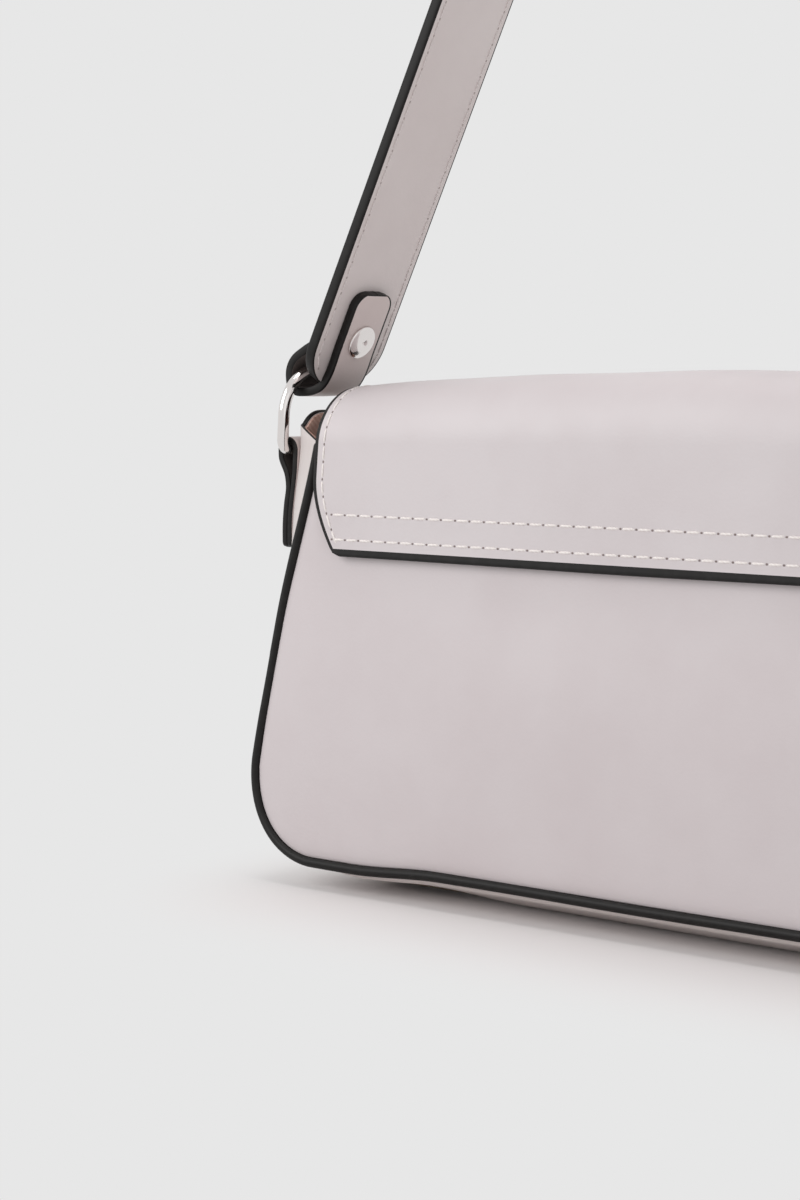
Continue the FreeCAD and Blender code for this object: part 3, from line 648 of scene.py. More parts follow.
def tube(name: str, path: np.ndarray, axis: np.ndarray, radius: float, closed: bool,
         material: bpy.types.Material, sides: int = 20, dome_steps: int = 4) -> bpy.types.Object:
    """Carry a circle along a flat path: the path plus the radius round the path's direction.

    Args:
        name: The piece's name.
        path: Points in one plane, shape (n, 3).
        axis: The normal of that plane.
        radius: The circle's radius.
        closed: Whether the path joins up; otherwise its ends are domed.
        material: The finish.
        sides: Sides of the circle.
        dome_steps: Rings of each dome.

    Returns:
        The tube's object.
    """
    if closed:
        way = unit(np.roll(path, -1, 0) - np.roll(path, 1, 0))
        sizes = np.full(len(path), radius)
    else:
        way = unit(np.gradient(path, axis=0))
        quarter = np.linspace(0, np.pi / 2, dome_steps + 1)[:-1]
        dome, reach = np.sin(quarter), np.cos(quarter)
        first = path[0] - way[0] * radius * reach[:, None]
        last = path[-1] + way[-1] * radius * reach[::-1, None]
        sizes = radius * np.concatenate([dome, np.ones(len(path)), dome[::-1]])
        path = np.vstack([first, path, last])
        way = np.vstack([np.repeat(way[:1], dome_steps, 0), way, np.repeat(way[-1:], dome_steps, 0)])
    side = unit(np.cross(way, axis))
    angle = np.linspace(0, 2 * np.pi, sides, endpoint=False)
    ring = np.cos(angle)[None, :, None] * axis + np.sin(angle)[None, :, None] * side[:, None]
    verts = (path[:, None] + sizes[:, None, None] * ring).reshape(-1, 3)
    number = np.arange(len(path) * sides).reshape(len(path), sides)
    ahead = np.roll(number, -1, 0) if closed else number[1:]
    quads = ring_quads(number if closed else number[:-1], ahead)
    return put_mesh(name, verts, quads, np.zeros(len(quads), int), [material], weld=not closed)


def turned(name: str, profile: list[tuple[float, float]], centre: np.ndarray, axis: np.ndarray,
           material: bpy.types.Material, sides: int = 48) -> bpy.types.Object:
    """Turn a half profile of radii and heights round an axis.

    Args:
        name: The piece's name.
        profile: Pairs of radius and height, from pole to pole.
        centre: The point of height zero on the axis.
        axis: The axis.
        material: The finish.
        sides: Steps round the axis.

    Returns:
        The turned object.
    """
    axis = unit(axis)
    across = unit(np.cross(axis, np.array([0.0, 1.0, 0.01])))
    other = np.cross(axis, across)
    shape = np.array(profile)
    angle = np.linspace(0, 2 * np.pi, sides, endpoint=False)
    ring = np.cos(angle)[:, None] * across + np.sin(angle)[:, None] * other
    verts = centre + shape[:, 0, None, None] * ring[None] + shape[:, 1, None, None] * axis
    number = np.arange(len(shape) * sides).reshape(len(shape), sides)
    quads = ring_quads(number[:-1], number[1:])
    return put_mesh(name, verts.reshape(-1, 3), quads, np.zeros(len(quads), int), [material], weld=True)


@dataclass
class Stitching:
    """Rows of hand-length stitches: thread dashes that dip at their ends, and needle holes between, whose
    darker colour is painted shade.
    """

    name: str
    thread: bpy.types.Material
    hole: bpy.types.Material
    dash_share: float = 0.8
    thread_mm: float = 0.7
    rows: list[tuple[np.ndarray, np.ndarray]] = field(default_factory=list)
    pitch_mm: float = 4.9
    dash_flatness: float = 0.8
    hole_mm: float = 0.7
    hole_width: float = 0.9
    hole_flatness: float = 0.3
    hole_sink_mm: float = 0.02
    way_reach: float = 0.4

    def add_row(self, path: np.ndarray, normal: np.ndarray) -> None:
        """Add a row along a path.

        Args:
            path: Points on the leather, shape (n, 3).
            normal: Outward normals at those points.
        """
        self.rows.append((path, normal))

    def shapes(self, path: np.ndarray, normal: np.ndarray, places: np.ndarray,
               size: tuple[float, float, float], lift: np.ndarray) -> np.ndarray:
        """Return the points of one small shape at each place of a row.

        A shape's rings stand along the row at shares of its length. Each is an ellipse, with a
        radius that falls off at the ends, lifted off the leather by its own height.

        Args:
            path: The row's points, shape (n, 3).
            normal: Outward normals at those points.
            places: Distances along the row.
            size: Length, half width and half height of the shape.
            lift: Height of each ring.

        Returns:
            Points of shape (places times rings times sides, 3).
        """
        long, wide, high = size
        way = ways_along(path, places, self.way_reach)
        up = unit(resample(path, places, normal))
        side = unit(np.cross(up, way))
        angle = np.linspace(0, 2 * np.pi, STITCH_SIDES, endpoint=False)
        s = STITCH_ALONG * long
        y = STITCH_SWELL[:, None] * wide * np.cos(angle)
        z = STITCH_SWELL[:, None] * high * np.sin(angle) + lift[:, None]
        local = (s[None, :, None, None] * way[:, None, None]
                 + y[None, :, :, None] * side[:, None, None] + z[None, :, :, None] * up[:, None, None])
        return (resample(path, places)[:, None, None] + local).reshape(-1, 3)

    def build(self) -> bpy.types.Object:
        """Set the dashes and then the holes of every row, as one object.

        A dash lies in the middle of each step of the row. A hole is the same shape, short, wide and
        sunk, between two dashes; its darker colour is painted shade in the hole.

        Returns:
            The stitches' object.
        """
        rings = len(STITCH_ALONG)
        points = rings * STITCH_SIDES
        number = np.arange(points).reshape(rings, STITCH_SIDES)
        # Each end is closed by two quads, turned so that they face outwards as the walls do.
        caps = [end[corners] for end in (number[0, ::-1], number[-1])
                for corners in ([0, 1, 2, 3], [0, 3, 4, 5])]
        shape = np.vstack([ring_quads(number[:-1], number[1:]), caps])
        radius = self.thread_mm / 2
        hole = (self.hole_mm, radius * self.hole_width, radius * self.hole_flatness)
        sunk = np.full(rings, -self.hole_sink_mm)
        groups, tags = [], []
        for path, normal in self.rows:
            run = length_of(path)
            count = max(2, int(round(run / self.pitch_mm)))
            step = run / count
            dash = (self.dash_share * step, radius, radius * self.dash_flatness)
            for slot, shift, size, lift in ((0, 0.5, dash, radius * STITCH_DIP), (1, 0.0, hole, sunk)):
                places = (np.arange(count) + shift) * step
                groups.append(self.shapes(path, normal, places, size, lift))
                tags.append(np.full(count * len(shape), slot))
        verts = np.vstack(groups)
        starts = np.arange(0, len(verts), points)
        quads = (shape[None] + starts[:, None, None]).reshape(-1, 4)
        return put_mesh(self.name, verts, quads, np.concatenate(tags), [self.thread, self.hole])


def ridge_swell(height: np.ndarray | float) -> np.ndarray | float:
    """Return how far the middle of an end stands out below the ring, eased in downwards."""
    return RIDGE_SWELL * eased(height, RIDGE_SWELL_TOP, -RIDGE_SWELL_EASE)


@dataclass
class Shell:
    """The bag's own form: two leaning panels, the gusset between them, their piping and the lining.

    A pair that eases something in is its start and the distance over which it eases.
    """

    finishes: Finishes
    base_half_depth: float = 31.44
    lean: float = math.radians(5)
    panel_thick: float = 2.4
    panel_top: float = 125.0
    panel_bottom: float = 10.4
    top_half: float = 109.2
    bottom_half: float = 128.1
    corner: float = 22.0

    # How the soft panels give: the flare of their ends, less low down, and the sag of their corners.
    flare: float = 2.6
    flare_across: tuple[float, float] = (30.0, 80.0)
    flare_down: tuple[float, float] = (125.0, -50.0)
    flare_low: tuple[float, float] = (50.0, -25.0)
    flare_low_loss: float = 0.2
    corner_sag: float = 1.5
    sag_across: tuple[float, float] = (58.0, 30.0)
    sag_down: tuple[float, float] = (48.0, -36.0)

    # The panels' own surface; a wave is its height, its lengths across and along, and its phase.
    panel_swell: float = 1.5
    back_flap_edge: float = 93.0
    front_flap_edge: float = 64.0
    waves: tuple[tuple[float, float, float, float], ...] = (
        (0.16, 23.0, 31.0, 0.0), (0.12, 13.0, -17.0, 1.0))
    wave_margin: float = 12.0
    seam_dip: float = 0.95
    seam_reach: float = 1.6
    skin: float = 1.3
    panel_grid: tuple[int, int] = (181, 111)
    panel_crowding: tuple[float, float] = (1.35, 1.45)

    # The bead of piping.
    piping_radius: float = 1.4
    piping_gap: float = 0.05
    piping_sink: float = 0.25
    piping_spacing: float = 1.4
    wobble: float = 0.1
    wobble_lengths: tuple[float, float] = (15.0, 9.0)
    wobble_top: float = 65.0

    # The gusset: its ends, then its base, then its upper rim.
    gusset_thick: float = 1.6
    gusset_join: float = 35.0
    gusset_tuck: float = 0.9
    gusset_spacing: float = 2.0
    gusset_columns: int = 81
    flat_share: float = 0.3
    ridge_reach: float = 126.5
    ridge_half_top: float = 9.6
    ridge_tilt: float = math.radians(18.5)
    ridge_share: float = 0.45
    end_power: float = 1.5
    end_power_loss: float = 0.4
    end_root: float = 0.8
    end_root_gain: float = 0.1
    side_bulge: float = 4.0
    seam_margin: float = 6.0
    base_margin: float = 20.0
    corner_overlap: float = 8.0
    corner_lift: float = 70.0
    lip_least: float = 2.0
    lip_share: float = 0.44
    lip_reach: float = 25.0
    lip_power: int = 24
    rim_peak: float = 4.2
    rim_half: float = 9.2
    rim_start: float = 0.78

    # The lining.
    lining_inset: float = 1.9
    lining_lift: float = 2.4
    lining_tuck: float = 0.5
    cloth_thick: float = 0.6
    cloth_gap: float = 0.1
    cloth_hem: float = 2.2
    cloth_top_hem: float = 0.3
    cloth_grid: tuple[int, int] = (61, 49)

    @property
    def slope(self) -> float:
        """How far a panel's side comes in for each unit of height."""
        return (self.bottom_half - self.top_half) / (self.panel_top - self.panel_bottom)

    @property
    def corner_centre(self) -> tuple[float, float]:
        """The middle of the right lower corner, across and along the panel."""
        along = self.panel_bottom + self.corner
        return float(self.side(along)) - self.corner * math.hypot(1, self.slope), along

    def side(self, along: np.ndarray | float) -> np.ndarray | float:
        """The half width of a panel on its straight side, at a height along its face."""
        return self.bottom_half - self.slope * (along - self.panel_bottom)

    def half_width(self, along: np.ndarray) -> np.ndarray:
        """Return the half width of a panel: straight above the corner, a circle below it.

        Args:
            along: Heights along the panel's face.

        Returns:
            The half widths there.
        """
        across, centre = self.corner_centre
        turn = math.atan(self.slope)
        drop = np.clip(centre - along, -self.corner * math.sin(turn), self.corner)
        round_part = across + np.sqrt(np.maximum(self.corner ** 2 - drop ** 2, 0))
        return np.where(along > centre + self.corner * math.sin(turn), self.side(along), round_part)

    def edge_distance(self, x: np.ndarray, along: np.ndarray) -> np.ndarray:
        """Return the distance from a panel's seamed edge: its side, lower edge or round corner.

        Args:
            x: Places across the panel.
            along: Heights along its face.

        Returns:
            The distances to the nearest edge.
        """
        across, centre = self.corner_centre
        to_side = (self.side(along) - np.abs(x)) / math.hypot(1, self.slope)
        to_low = along - self.panel_bottom
        past_x, past_s = np.maximum(np.abs(x) - across, 0), np.maximum(centre - along, 0)
        round_part = self.corner - np.hypot(past_x, past_s)
        in_corner = (np.abs(x) > across) & (along < centre)
        return np.where(in_corner, round_part, np.minimum(to_side, to_low))

    def leaned(self, x: np.ndarray, along: np.ndarray, depth: np.ndarray, face: Face) -> np.ndarray:
        """Place points on a leaning panel.

        The soft leather gives a little: the ends flare below the flap, eased in over the width and
        the height, and the lower corners sag.

        Args:
            x: Places along the bag.
            along: Heights along the panel's face.
            depth: Distances under its outer face.
            face: Which panel.

        Returns:
            The points, with a last axis of 3.
        """
        x, along, depth = np.broadcast_arrays(x, along, depth)
        spread = eased(along, *self.flare_down) * (1 - self.flare_low_loss * eased(along, *self.flare_low))
        sag = self.corner_sag * eased(np.abs(x), *self.sag_across) * eased(along, *self.sag_down)
        x = x + np.sign(x) * self.flare * eased(np.abs(x), *self.flare_across) * spread
        along = along - sag
        y = self.base_half_depth - along * math.sin(self.lean) - depth * math.cos(self.lean)
        z = along * math.cos(self.lean) - depth * math.sin(self.lean)
        return np.stack([x, face.value * y, z], axis=-1)

    def panel(self, face: Face) -> bpy.types.Object:
        """Make a panel: it swells a little below the flap and dips into the seam at its edge.

        The depth under the flat face is the seam's dip, falling off with the distance from the edge,
        less a swell, less two faint waves. The swell is a sine over the height to the power of 1.2,
        times one minus the fourth power of the place across.

        Args:
            face: Which panel.

        Returns:
            The panel's object.
        """
        columns, rows = self.panel_grid
        crowd_across, crowd_along = self.panel_crowding
        u = np.linspace(-1, 1, columns)
        u = np.sign(u) * (1 - (1 - np.abs(u)) ** crowd_across)
        v = np.linspace(0, 1, rows) ** crowd_along
        along = self.panel_bottom + (self.panel_top - self.panel_bottom) * v
        x = u[:, None] * self.half_width(along)[None]
        along = np.broadcast_to(along, x.shape)
        gap = np.maximum(self.edge_distance(x, along), 0)
        flap_edge = self.back_flap_edge if face is Face.BACK else self.front_flap_edge
        rise = np.clip((along - self.panel_bottom) / (flap_edge - self.panel_bottom), 0, 1)
        belly = np.sin(np.pi * rise)
        swell = self.panel_swell * belly ** 1.2 * (1 - np.abs(x / self.bottom_half) ** 4)
        wave = sum(high * np.sin(x / across + along / up + phase) for high, across, up, phase in self.waves)
        wave = wave * belly * smooth(gap / self.wave_margin)
        depth = self.seam_dip * np.exp(-gap / self.seam_reach) - swell - wave
        top = self.leaned(x, along, depth, face)
        under = self.leaned(x, along, np.maximum(depth + self.skin, self.panel_thick), face)
        leather = self.finishes.panel
        piece = Strip(f"{face.name.lower()}_panel_leather", top, under,
                      [leather, leather, self.finishes.paint], edge_round_mm=0.1, edge_steps=3).build()
        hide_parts(f"{face.name.lower()}_panel")
        return piece

    def outline(self, offset: float, spacing: float) -> tuple[np.ndarray, ...]:
        """Walk round a panel's edge from its left top to its right top.

        Args:
            offset: How far outside the edge to walk.
            spacing: The distance between two points.

        Returns:
            Places across and along the panel, and the outward way there.
        """
        across, centre = self.corner_centre
        turn = math.atan(self.slope)
        radius = self.corner + offset
        foot_x, foot_s = across + radius * math.cos(turn), centre + radius * math.sin(turn)
        count = max(2, int((self.panel_top - foot_s) / spacing))
        s = np.linspace(self.panel_top, foot_s, count, endpoint=False)
        side = np.stack([foot_x - self.slope * (s - foot_s), s,
                         np.full(count, math.cos(turn)), np.full(count, math.sin(turn))], axis=1)
        # The corner turns by a little over 1.6 radians, which sets the count of its points.
        steps = max(6, int(radius * 1.6 / spacing))
        angle = np.linspace(turn, -np.pi / 2, steps, endpoint=False)
        arc = np.stack([across + radius * np.cos(angle), centre + radius * np.sin(angle),
                        np.cos(angle), np.sin(angle)], axis=1)
        flat = np.linspace(across, -across, max(2, int(2 * across / spacing)))
        low = np.stack([flat, np.full(len(flat), centre - radius), 0 * flat, 0 * flat - 1], axis=1)
        right = np.vstack([side, arc])
        left = right[::-1] * np.array([-1, 1, -1, 1])
        walk = np.vstack([right, low, left])[::-1]
        return walk[:, 0], walk[:, 1], walk[:, 2], walk[:, 3]

    def piping(self, face: Face) -> bpy.types.Object:
        """Make the bead round a panel: a circle along the outline, a hair uneven in its plane.

        Args:
            face: Which panel.

        Returns:
            The bead's object.
        """
        x, along, way_x, way_s = self.outline(self.piping_radius + self.piping_gap, self.piping_spacing)
        across_mm, along_mm = self.wobble_lengths
        wobble = self.wobble * np.sin(x / across_mm + along / along_mm) * (along < self.wobble_top)
        path = self.leaned(x + way_x * wobble, along + way_s * wobble,
                           self.panel_thick / 2 - self.piping_sink, face)
        axis = np.array([0.0, face.value * math.cos(self.lean), math.sin(self.lean)])
        piece = tube(f"{face.name.lower()}_piping_bead", path, axis, self.piping_radius, False,
                     self.finishes.piping)
        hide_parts(f"{face.name.lower()}_piping")
        return piece

    def gusset_grid(self, inset: float, depth: float, lift: float) -> np.ndarray:
        """Return the gusset's surface as a grid, along the outline and across the bag.

        Across a station the strip is flat in the middle and falls to its seams as a superellipse: the
        bulge times one less a power of the share of the way, to a smaller power. The bulge brings the
        ends out to one ridge line and tilts up towards the top. Under the base there is a tight lip at
        the seam and an easy slope from it to the belly, which rests on the floor in the middle and
        lifts towards the corners. The rim has a peak in its middle: one less the cubed share of the
        way across the ridge.

        Args:
            inset: How far inside the outline the surface lies.
            depth: How far under the panels' outer faces its seams lie.
            lift: How much of the base's bulge it gives up.

        Returns:
            Points of shape (stations, places across, 3).
        """
        # The outward way at each station, which tilts up along the ends.
        x, along, way_x, way_s = self.outline(0.0, self.gusset_spacing)
        rise = np.clip((along - self.gusset_join) / (self.panel_top - self.gusset_join), 0, 1)
        start = math.atan(self.slope)
        turn = np.arctan2(way_s, np.abs(way_x)) + np.pi / 2
        round_share = np.clip(turn / (np.pi / 2 + start), 0, 1)
        on_side = along > self.corner_centre[1] + self.corner * math.sin(start)
        tilt = start + (self.ridge_tilt - start) * rise ** 2
        way_x = np.where(on_side, np.sign(x) * np.cos(tilt), way_x)
        way_s = np.where(on_side, np.sin(tilt), way_s)

        # The bulge of the ends, and the lip and belly of the base.
        edge = np.abs(self.leaned(x, along, 0.0, Face.FRONT)[:, 0])
        to_ridge = (self.ridge_reach + ridge_swell(along) - edge) / np.cos(tilt)
        share = smooth(rise / self.ridge_share)
        side_out = self.side_bulge * (1 - share) + share * to_ridge
        bulge = np.where(on_side, side_out, self.side_bulge)
        seam_low = self.leaned(0.0, self.panel_bottom, self.panel_thick, Face.FRONT)
        low = float(seam_low[2]) / math.cos(self.lean)
        reach_in = self.corner_centre[0] + self.corner_overlap - np.abs(x)
        lip_rise = self.lip_share * low - self.lip_least
        lip = self.lip_least + lip_rise * smooth(reach_in / self.lip_reach)
        belly = ((1 - self.lip_share) * low - lift) * smooth(reach_in / self.corner_lift)

        # Places across the strip: the flat middle, then the share of the way to the seam.
        margin = self.base_margin + (self.seam_margin - self.base_margin) * round_share
        seam = self.leaned(x - way_x * inset, along - way_s * inset, depth, Face.FRONT)
        half = seam[:, 1]
        flat = (half - margin) * (1 - rise) ** 2 + self.ridge_half_top * (1 - (1 - rise) ** 2)
        v = np.linspace(-1, 1, self.gusset_columns)
        outer = np.clip((np.abs(v) - self.flat_share) / (1 - self.flat_share), 0, 1)
        t = np.sin(np.pi / 2 * outer)[None]
        y = np.where(np.abs(v) < self.flat_share, flat[:, None] * np.abs(v) / self.flat_share,
                     flat[:, None] + (half - flat)[:, None] * t)

        # The fall from the middle to the seams, and the peak of the rim.
        up = rise[:, None]
        power, root = self.end_power - self.end_power_loss * up, self.end_root + self.end_root_gain * up
        end_fall = (1 - t ** power) ** root
        under = lip[:, None] * np.sqrt(1 - t ** self.lip_power) + belly[:, None] * (1 - smooth(t))
        out = under + (bulge[:, None] * end_fall - under) * round_share[:, None]
        grid_x = seam[:, :1] + way_x[:, None] * out
        grid_z = seam[:, 2:] + way_s[:, None] * math.cos(self.lean) * out
        middle = np.clip(1 - (y / self.rim_half) ** 3, 0, 1)
        grid_z += self.rim_peak * eased(up, self.rim_start, 1 - self.rim_start) * middle
        return np.stack([grid_x, np.sign(v) * y, np.maximum(grid_z, 0.0)], axis=-1)

    def gusset(self) -> bpy.types.Object:
        """Make the leather strip round the ends and the base.

        Returns:
            The gusset's object.
        """
        depth = self.panel_thick - self.gusset_tuck
        top = self.gusset_grid(0.0, depth, 0.0)
        under = self.gusset_grid(self.gusset_thick, depth, 0.0)
        leather = self.finishes.gusset
        piece = Strip("gusset_leather", top, under, [leather, leather, self.finishes.paint],
                      edge_round_mm=0.3, edge_steps=4).build()
        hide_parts("left_gusset", "bottom_gusset", "right_gusset")
        return piece

    def lining(self) -> list[bpy.types.Object]:
        """Make the cloth inside: a strip along the gusset and a sheet on each panel.

        Returns:
            The strip and the two sheets.
        """
        cloth = [self.finishes.lining] * len(Part)
        depth = self.panel_thick + self.lining_tuck
        outer = self.gusset_grid(self.lining_inset, depth, self.lining_lift)
        inner = self.gusset_grid(self.lining_inset + self.cloth_thick, depth, self.lining_lift)
        strip = Strip("gusset_lining_cloth", outer, inner, cloth, edge_round_mm=0.1, edge_steps=3).build()
        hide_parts("gusset_lining")
        pieces = [strip]
        columns, rows = self.cloth_grid
        u = np.linspace(-1, 1, columns)
        along = np.linspace(self.panel_bottom + self.cloth_hem, self.panel_top - self.cloth_top_hem, rows)
        x = u[:, None] * (self.half_width(along) - self.cloth_hem)[None]
        depth = self.panel_thick + self.cloth_gap
        for face in Face:
            top = self.leaned(x, along[None], depth, face)
            under = self.leaned(x, along[None], depth + self.cloth_thick, face)
            sheet = Strip(f"{face.name.lower()}_lining_cloth", top, under, cloth, edge_round_mm=0.1,
                          edge_steps=3).build()
            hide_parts(f"{face.name.lower()}_lining")
            pieces.append(sheet)
        return pieces

    def build(self) -> list[bpy.types.Object]:
        """Make every piece of the shell and set it on the bag.

        Returns:
            The shell's pieces.
        """
        pieces = [self.panel(face) for face in Face] + [self.piping(face) for face in Face]
        pieces += [self.gusset()] + self.lining()
        for piece in pieces:
            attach(piece, "bag")
        return pieces


@dataclass
class Flap:
    """The flap: one sheet sewn to the back, rolled over the top and hanging down the front.

    A pair that eases something in is its start and the distance over which it eases.
    """

    finishes: Finishes
    shell: Shell
    gap: float = 0.3
    thick: float = 2.4
    lining_thick: float = 1.0
    lining_gap: float = 0.02
    top: float = 142.5
    shoulder: float = 18.0
    shoulder_steps: int = 40
    back_end: float = 94.4
    front_end: float = 67.0
    hinge_back: float = 4.6
    fold_back: float = 12.0
    fold_front: float = 4.0

    # Half widths along the sheet, and its corners.
    top_half: float = 108.5
    back_half: float = 99.5
    flare_height: float = 21.0
    flare_power: float = 1.7
    shoulder_half: float = 102.5
    draw_in: tuple[float, float] = (-2.0, 24.0)
    front_half: float = 96.0
    front_corner: float = 16.0
    back_corner: float = 1.5

    # How the soft top gives; a wave is its height, its length and its phase.
    droop: float = 1.5
    crown: float = 3.4
    crown_place: float = 20.0
    crown_reach: float = 128.0
    waves: tuple[tuple[float, float, float], ...] = ((0.22, 19.0, 0.6), (0.12, 8.5, 0.0))
    soft_from: tuple[float, float] = (117.0, 20.0)

    # The grid, the painted rows along the edges, and the sewn rows: their height above the edge and
    # the gap at their ends.
    columns: int = 121
    rows: int = 150
    way_reach: float = 0.5
    paint_width: float = 1.0
    back_paint: tuple[float, float] = (0.7, 1.9)
    front_paint: tuple[float, float] = (0.6, 1.5)
    sewn_rows: tuple[tuple[float, float], ...] = ((4.5, 2.0), (11.4, 5.0))
    stitch_inset: float = 3.2
    side_row_start: float = 3.0

    snap_radius: float = 8.0
    snap_along: float = 81.0
    socket_lift: float = 0.05
    stud_lift: float = 0.32

    def reach(self, z: float) -> float:
        """The distance from the bag's middle to the sheet's outer face beside a panel, at a height."""
        lean = self.shell.lean
        return self.shell.base_half_depth - z * math.tan(lean) + (self.gap + self.thick) / math.cos(lean)

    def profile(self) -> np.ndarray:
        """Return the outer line over the bag, across and up, from the back edge to the front edge.

        It is a straight line outside the back panel, a round shoulder, the flat top, the other
        shoulder and a straight line outside the front panel.

        Returns:
            The line's points, shape (n, 2).
        """
        lean = self.shell.lean
        middle_z = self.top - self.shoulder
        middle_y = self.reach(middle_z) - self.shoulder / math.cos(lean)
        angle = np.linspace(lean, np.pi / 2, self.shoulder_steps)
        arc = np.stack([middle_y + self.shoulder * np.cos(angle),
                        middle_z + self.shoulder * np.sin(angle)], 1)
        front = np.vstack([arc[::-1], [[self.reach(self.front_end), self.front_end]]])
        back = np.vstack([[[self.reach(self.back_end), self.back_end]], arc]) * np.array([-1, 1])
        return np.vstack([back, front])

    def stations(self, places: np.ndarray) -> tuple[np.ndarray, np.ndarray, np.ndarray]:
        """Return the profile's points, its outward normals and its half widths.

        The half width flares from the back edge, is full over the top, draws in over the front
        shoulder and runs straight down to the front edge, whose corners are round.

        Args:
            places: Distances from the back edge along the profile.

        Returns:
            Points and normals, across and up the bag, and the half widths.
        """
        line = self.profile()
        run = length_of(line)
        points = resample(line, places)
        normal = left_of(ways_along(line, places, self.way_reach))
        y, z = points[:, 0], points[:, 1]
        short = 1 - np.clip((z - self.back_end) / self.flare_height, 0, 1)
        flare = self.back_half + (self.top_half - self.back_half) * (1 - short ** self.flare_power)
        over = self.top_half + (self.shoulder_half - self.top_half) * eased(y, *self.draw_in)
        front_top = self.top - self.shoulder
        fall = np.clip((front_top - z) / (front_top - self.front_end), 0, 1)
        down = self.shoulder_half + (self.front_half - self.shoulder_half) * fall
        half = np.where(y < -self.hinge_back, flare, np.where(z > front_top, over, down))
        half = half - corner_cut(run - places, self.front_corner) - corner_cut(places, self.back_corner)
        return points, normal, half

    def lift(self, x: np.ndarray, z: np.ndarray) -> np.ndarray:
        """Return how far the leather stands above the plain profile.

        The top droops towards both ends by the fifth power of the place across, rises to a low crown
        by a parabola about a line near the middle, and has a faint wave over its length.

        Args:
            x: Places across the flap.
            z: Heights on the profile.

        Returns:
            The heights to add.
        """
        ends = np.abs(x / self.top_half) ** 5
        rise = self.crown * (1 - ((x - self.crown_place) / self.crown_reach) ** 2) * (1 - ends)
        wave = sum(high * np.sin(x / across + phase) for high, across, phase in self.waves)
        return (rise + wave - self.droop * ends) * eased(z, *self.soft_from)

    def surface(self, depth: float) -> np.ndarray:
        """Return the flap's surface at a depth under its outer face, as a grid, across by along.

        Args:
            depth: How far under the outer face.

        Returns:
            The points; the outermost two rows and columns are for paint.
        """
        run = length_of(self.profile())
        back_rim, back = self.back_paint
        front_rim, front = self.front_paint
        inner = np.linspace(back, run - front, self.rows)
        places = np.concatenate([[0, back_rim], inner, [run - front_rim, run]])
        points, normal, half = self.stations(places)
        x = spread_across(half, self.paint_width, self.columns)
        y = points[:, 0] - normal[:, 0] * depth
        z = points[:, 1] - normal[:, 1] * depth
        return np.stack([x, np.broadcast_to(y, x.shape), z[None] + self.lift(x, points[:, 1])], axis=-1)

    def leather(self) -> bpy.types.Object:
        """Make the outer leather, with black paint on its edge and lapping onto its face.

        Returns:
            The leather's object.
        """
        top, under = self.surface(0.0), self.surface(self.thick - self.lining_thick)
        return Strip("flap_leather", top, under,
                     [self.finishes.flap, self.finishes.flap, self.finishes.paint],
                     painted_rows=(2, 2), painted_columns=(2, 2), edge_round_mm=0.5).build()

    def lining(self) -> bpy.types.Object:
        """Make the lining under the flap's leather, a hair inside its edge.

        Returns:
            The lining's object.
        """
        top = self.surface(self.thick - self.lining_thick + self.lining_gap)
        under = self.surface(self.thick)
        return Strip("flap_lining_leather", top[1:-1], under[1:-1],
                     [self.finishes.gusset, self.finishes.gusset, self.finishes.paint],
                     edge_round_mm=0.4).build()

    def row(self, x: np.ndarray, places: np.ndarray) -> tuple[np.ndarray, np.ndarray]:
        """Return a row of points on the flap's outer face, and their normals.

        Args:
            x: Places across the flap.
            places: Distances from the back edge along the profile.

        Returns:
            The points and the normals, shape (n, 3).
        """
        points, normal, _ = self.stations(places)
        path = np.stack([x, points[:, 0], points[:, 1] + self.lift(x, points[:, 1])], axis=1)
        return path, np.stack([0 * x, normal[:, 0], normal[:, 1]], axis=1)

    def stitches(self) -> bpy.types.Object:
        """Sew the flap to the back with two rows, and edge its sides and front with one.

        Returns:
            The stitches' object.
        """
        sewing = Stitching("flap_stitches", self.finishes.thread, self.finishes.hole)
        for rise, shrink in self.sewn_rows:
            reach = float(self.stations(np.array([rise]))[2][0]) - shrink
            across = np.linspace(-reach, reach, 120)
            sewing.add_row(*self.row(across, np.full(len(across), rise)))
        run, inset = length_of(self.profile()), self.stitch_inset
        side = np.linspace(self.side_row_start, run - self.front_corner, 200)
        side_x = self.stations(side)[2] - inset
        middle, radius = side_x[-1] + inset - self.front_corner, self.front_corner - inset
        turn = np.linspace(0, np.pi / 2, 24)[1:]
        right_x = np.concatenate([side_x, middle + radius * np.cos(turn), [0.0]])
        right_s = np.concatenate([side, run - self.front_corner + radius * np.sin(turn), [run - inset]])
        sewing.add_row(*self.row(np.concatenate([right_x, -right_x[-2::-1]]),
                                 np.concatenate([right_s, right_s[-2::-1]])))
        return sewing.build()

    def snaps(self) -> list[bpy.types.Object]:
        """Make the two halves of the snap: flat discs with a rolled rim, let into lining and panel.

        Returns:
            The panel's disc and the flap's.
        """
        lean = self.shell.lean
        axis = np.array([0.0, math.cos(lean), math.sin(lean)])
        r = self.snap_radius
        dish = [(0, 0.0), (r - 1.6, 0.0), (r - 1.2, 0.12), (r - 0.4, 0.12), (r, -0.1), (r, -0.8), (0, -0.8)]
        place = self.shell.leaned(0.0, self.snap_along, 0.0, Face.FRONT)
        socket = turned("panel_snap_disc", dish, place + axis * self.socket_lift, axis, self.finishes.steel)
        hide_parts("panel_snap")
        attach(socket, "bag")
        stud = turned("flap_snap_disc", dish, place + axis * self.stud_lift, -axis, self.finishes.steel)
        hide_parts("flap_snap")
        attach(stud, "flap")
        return [socket, stud]

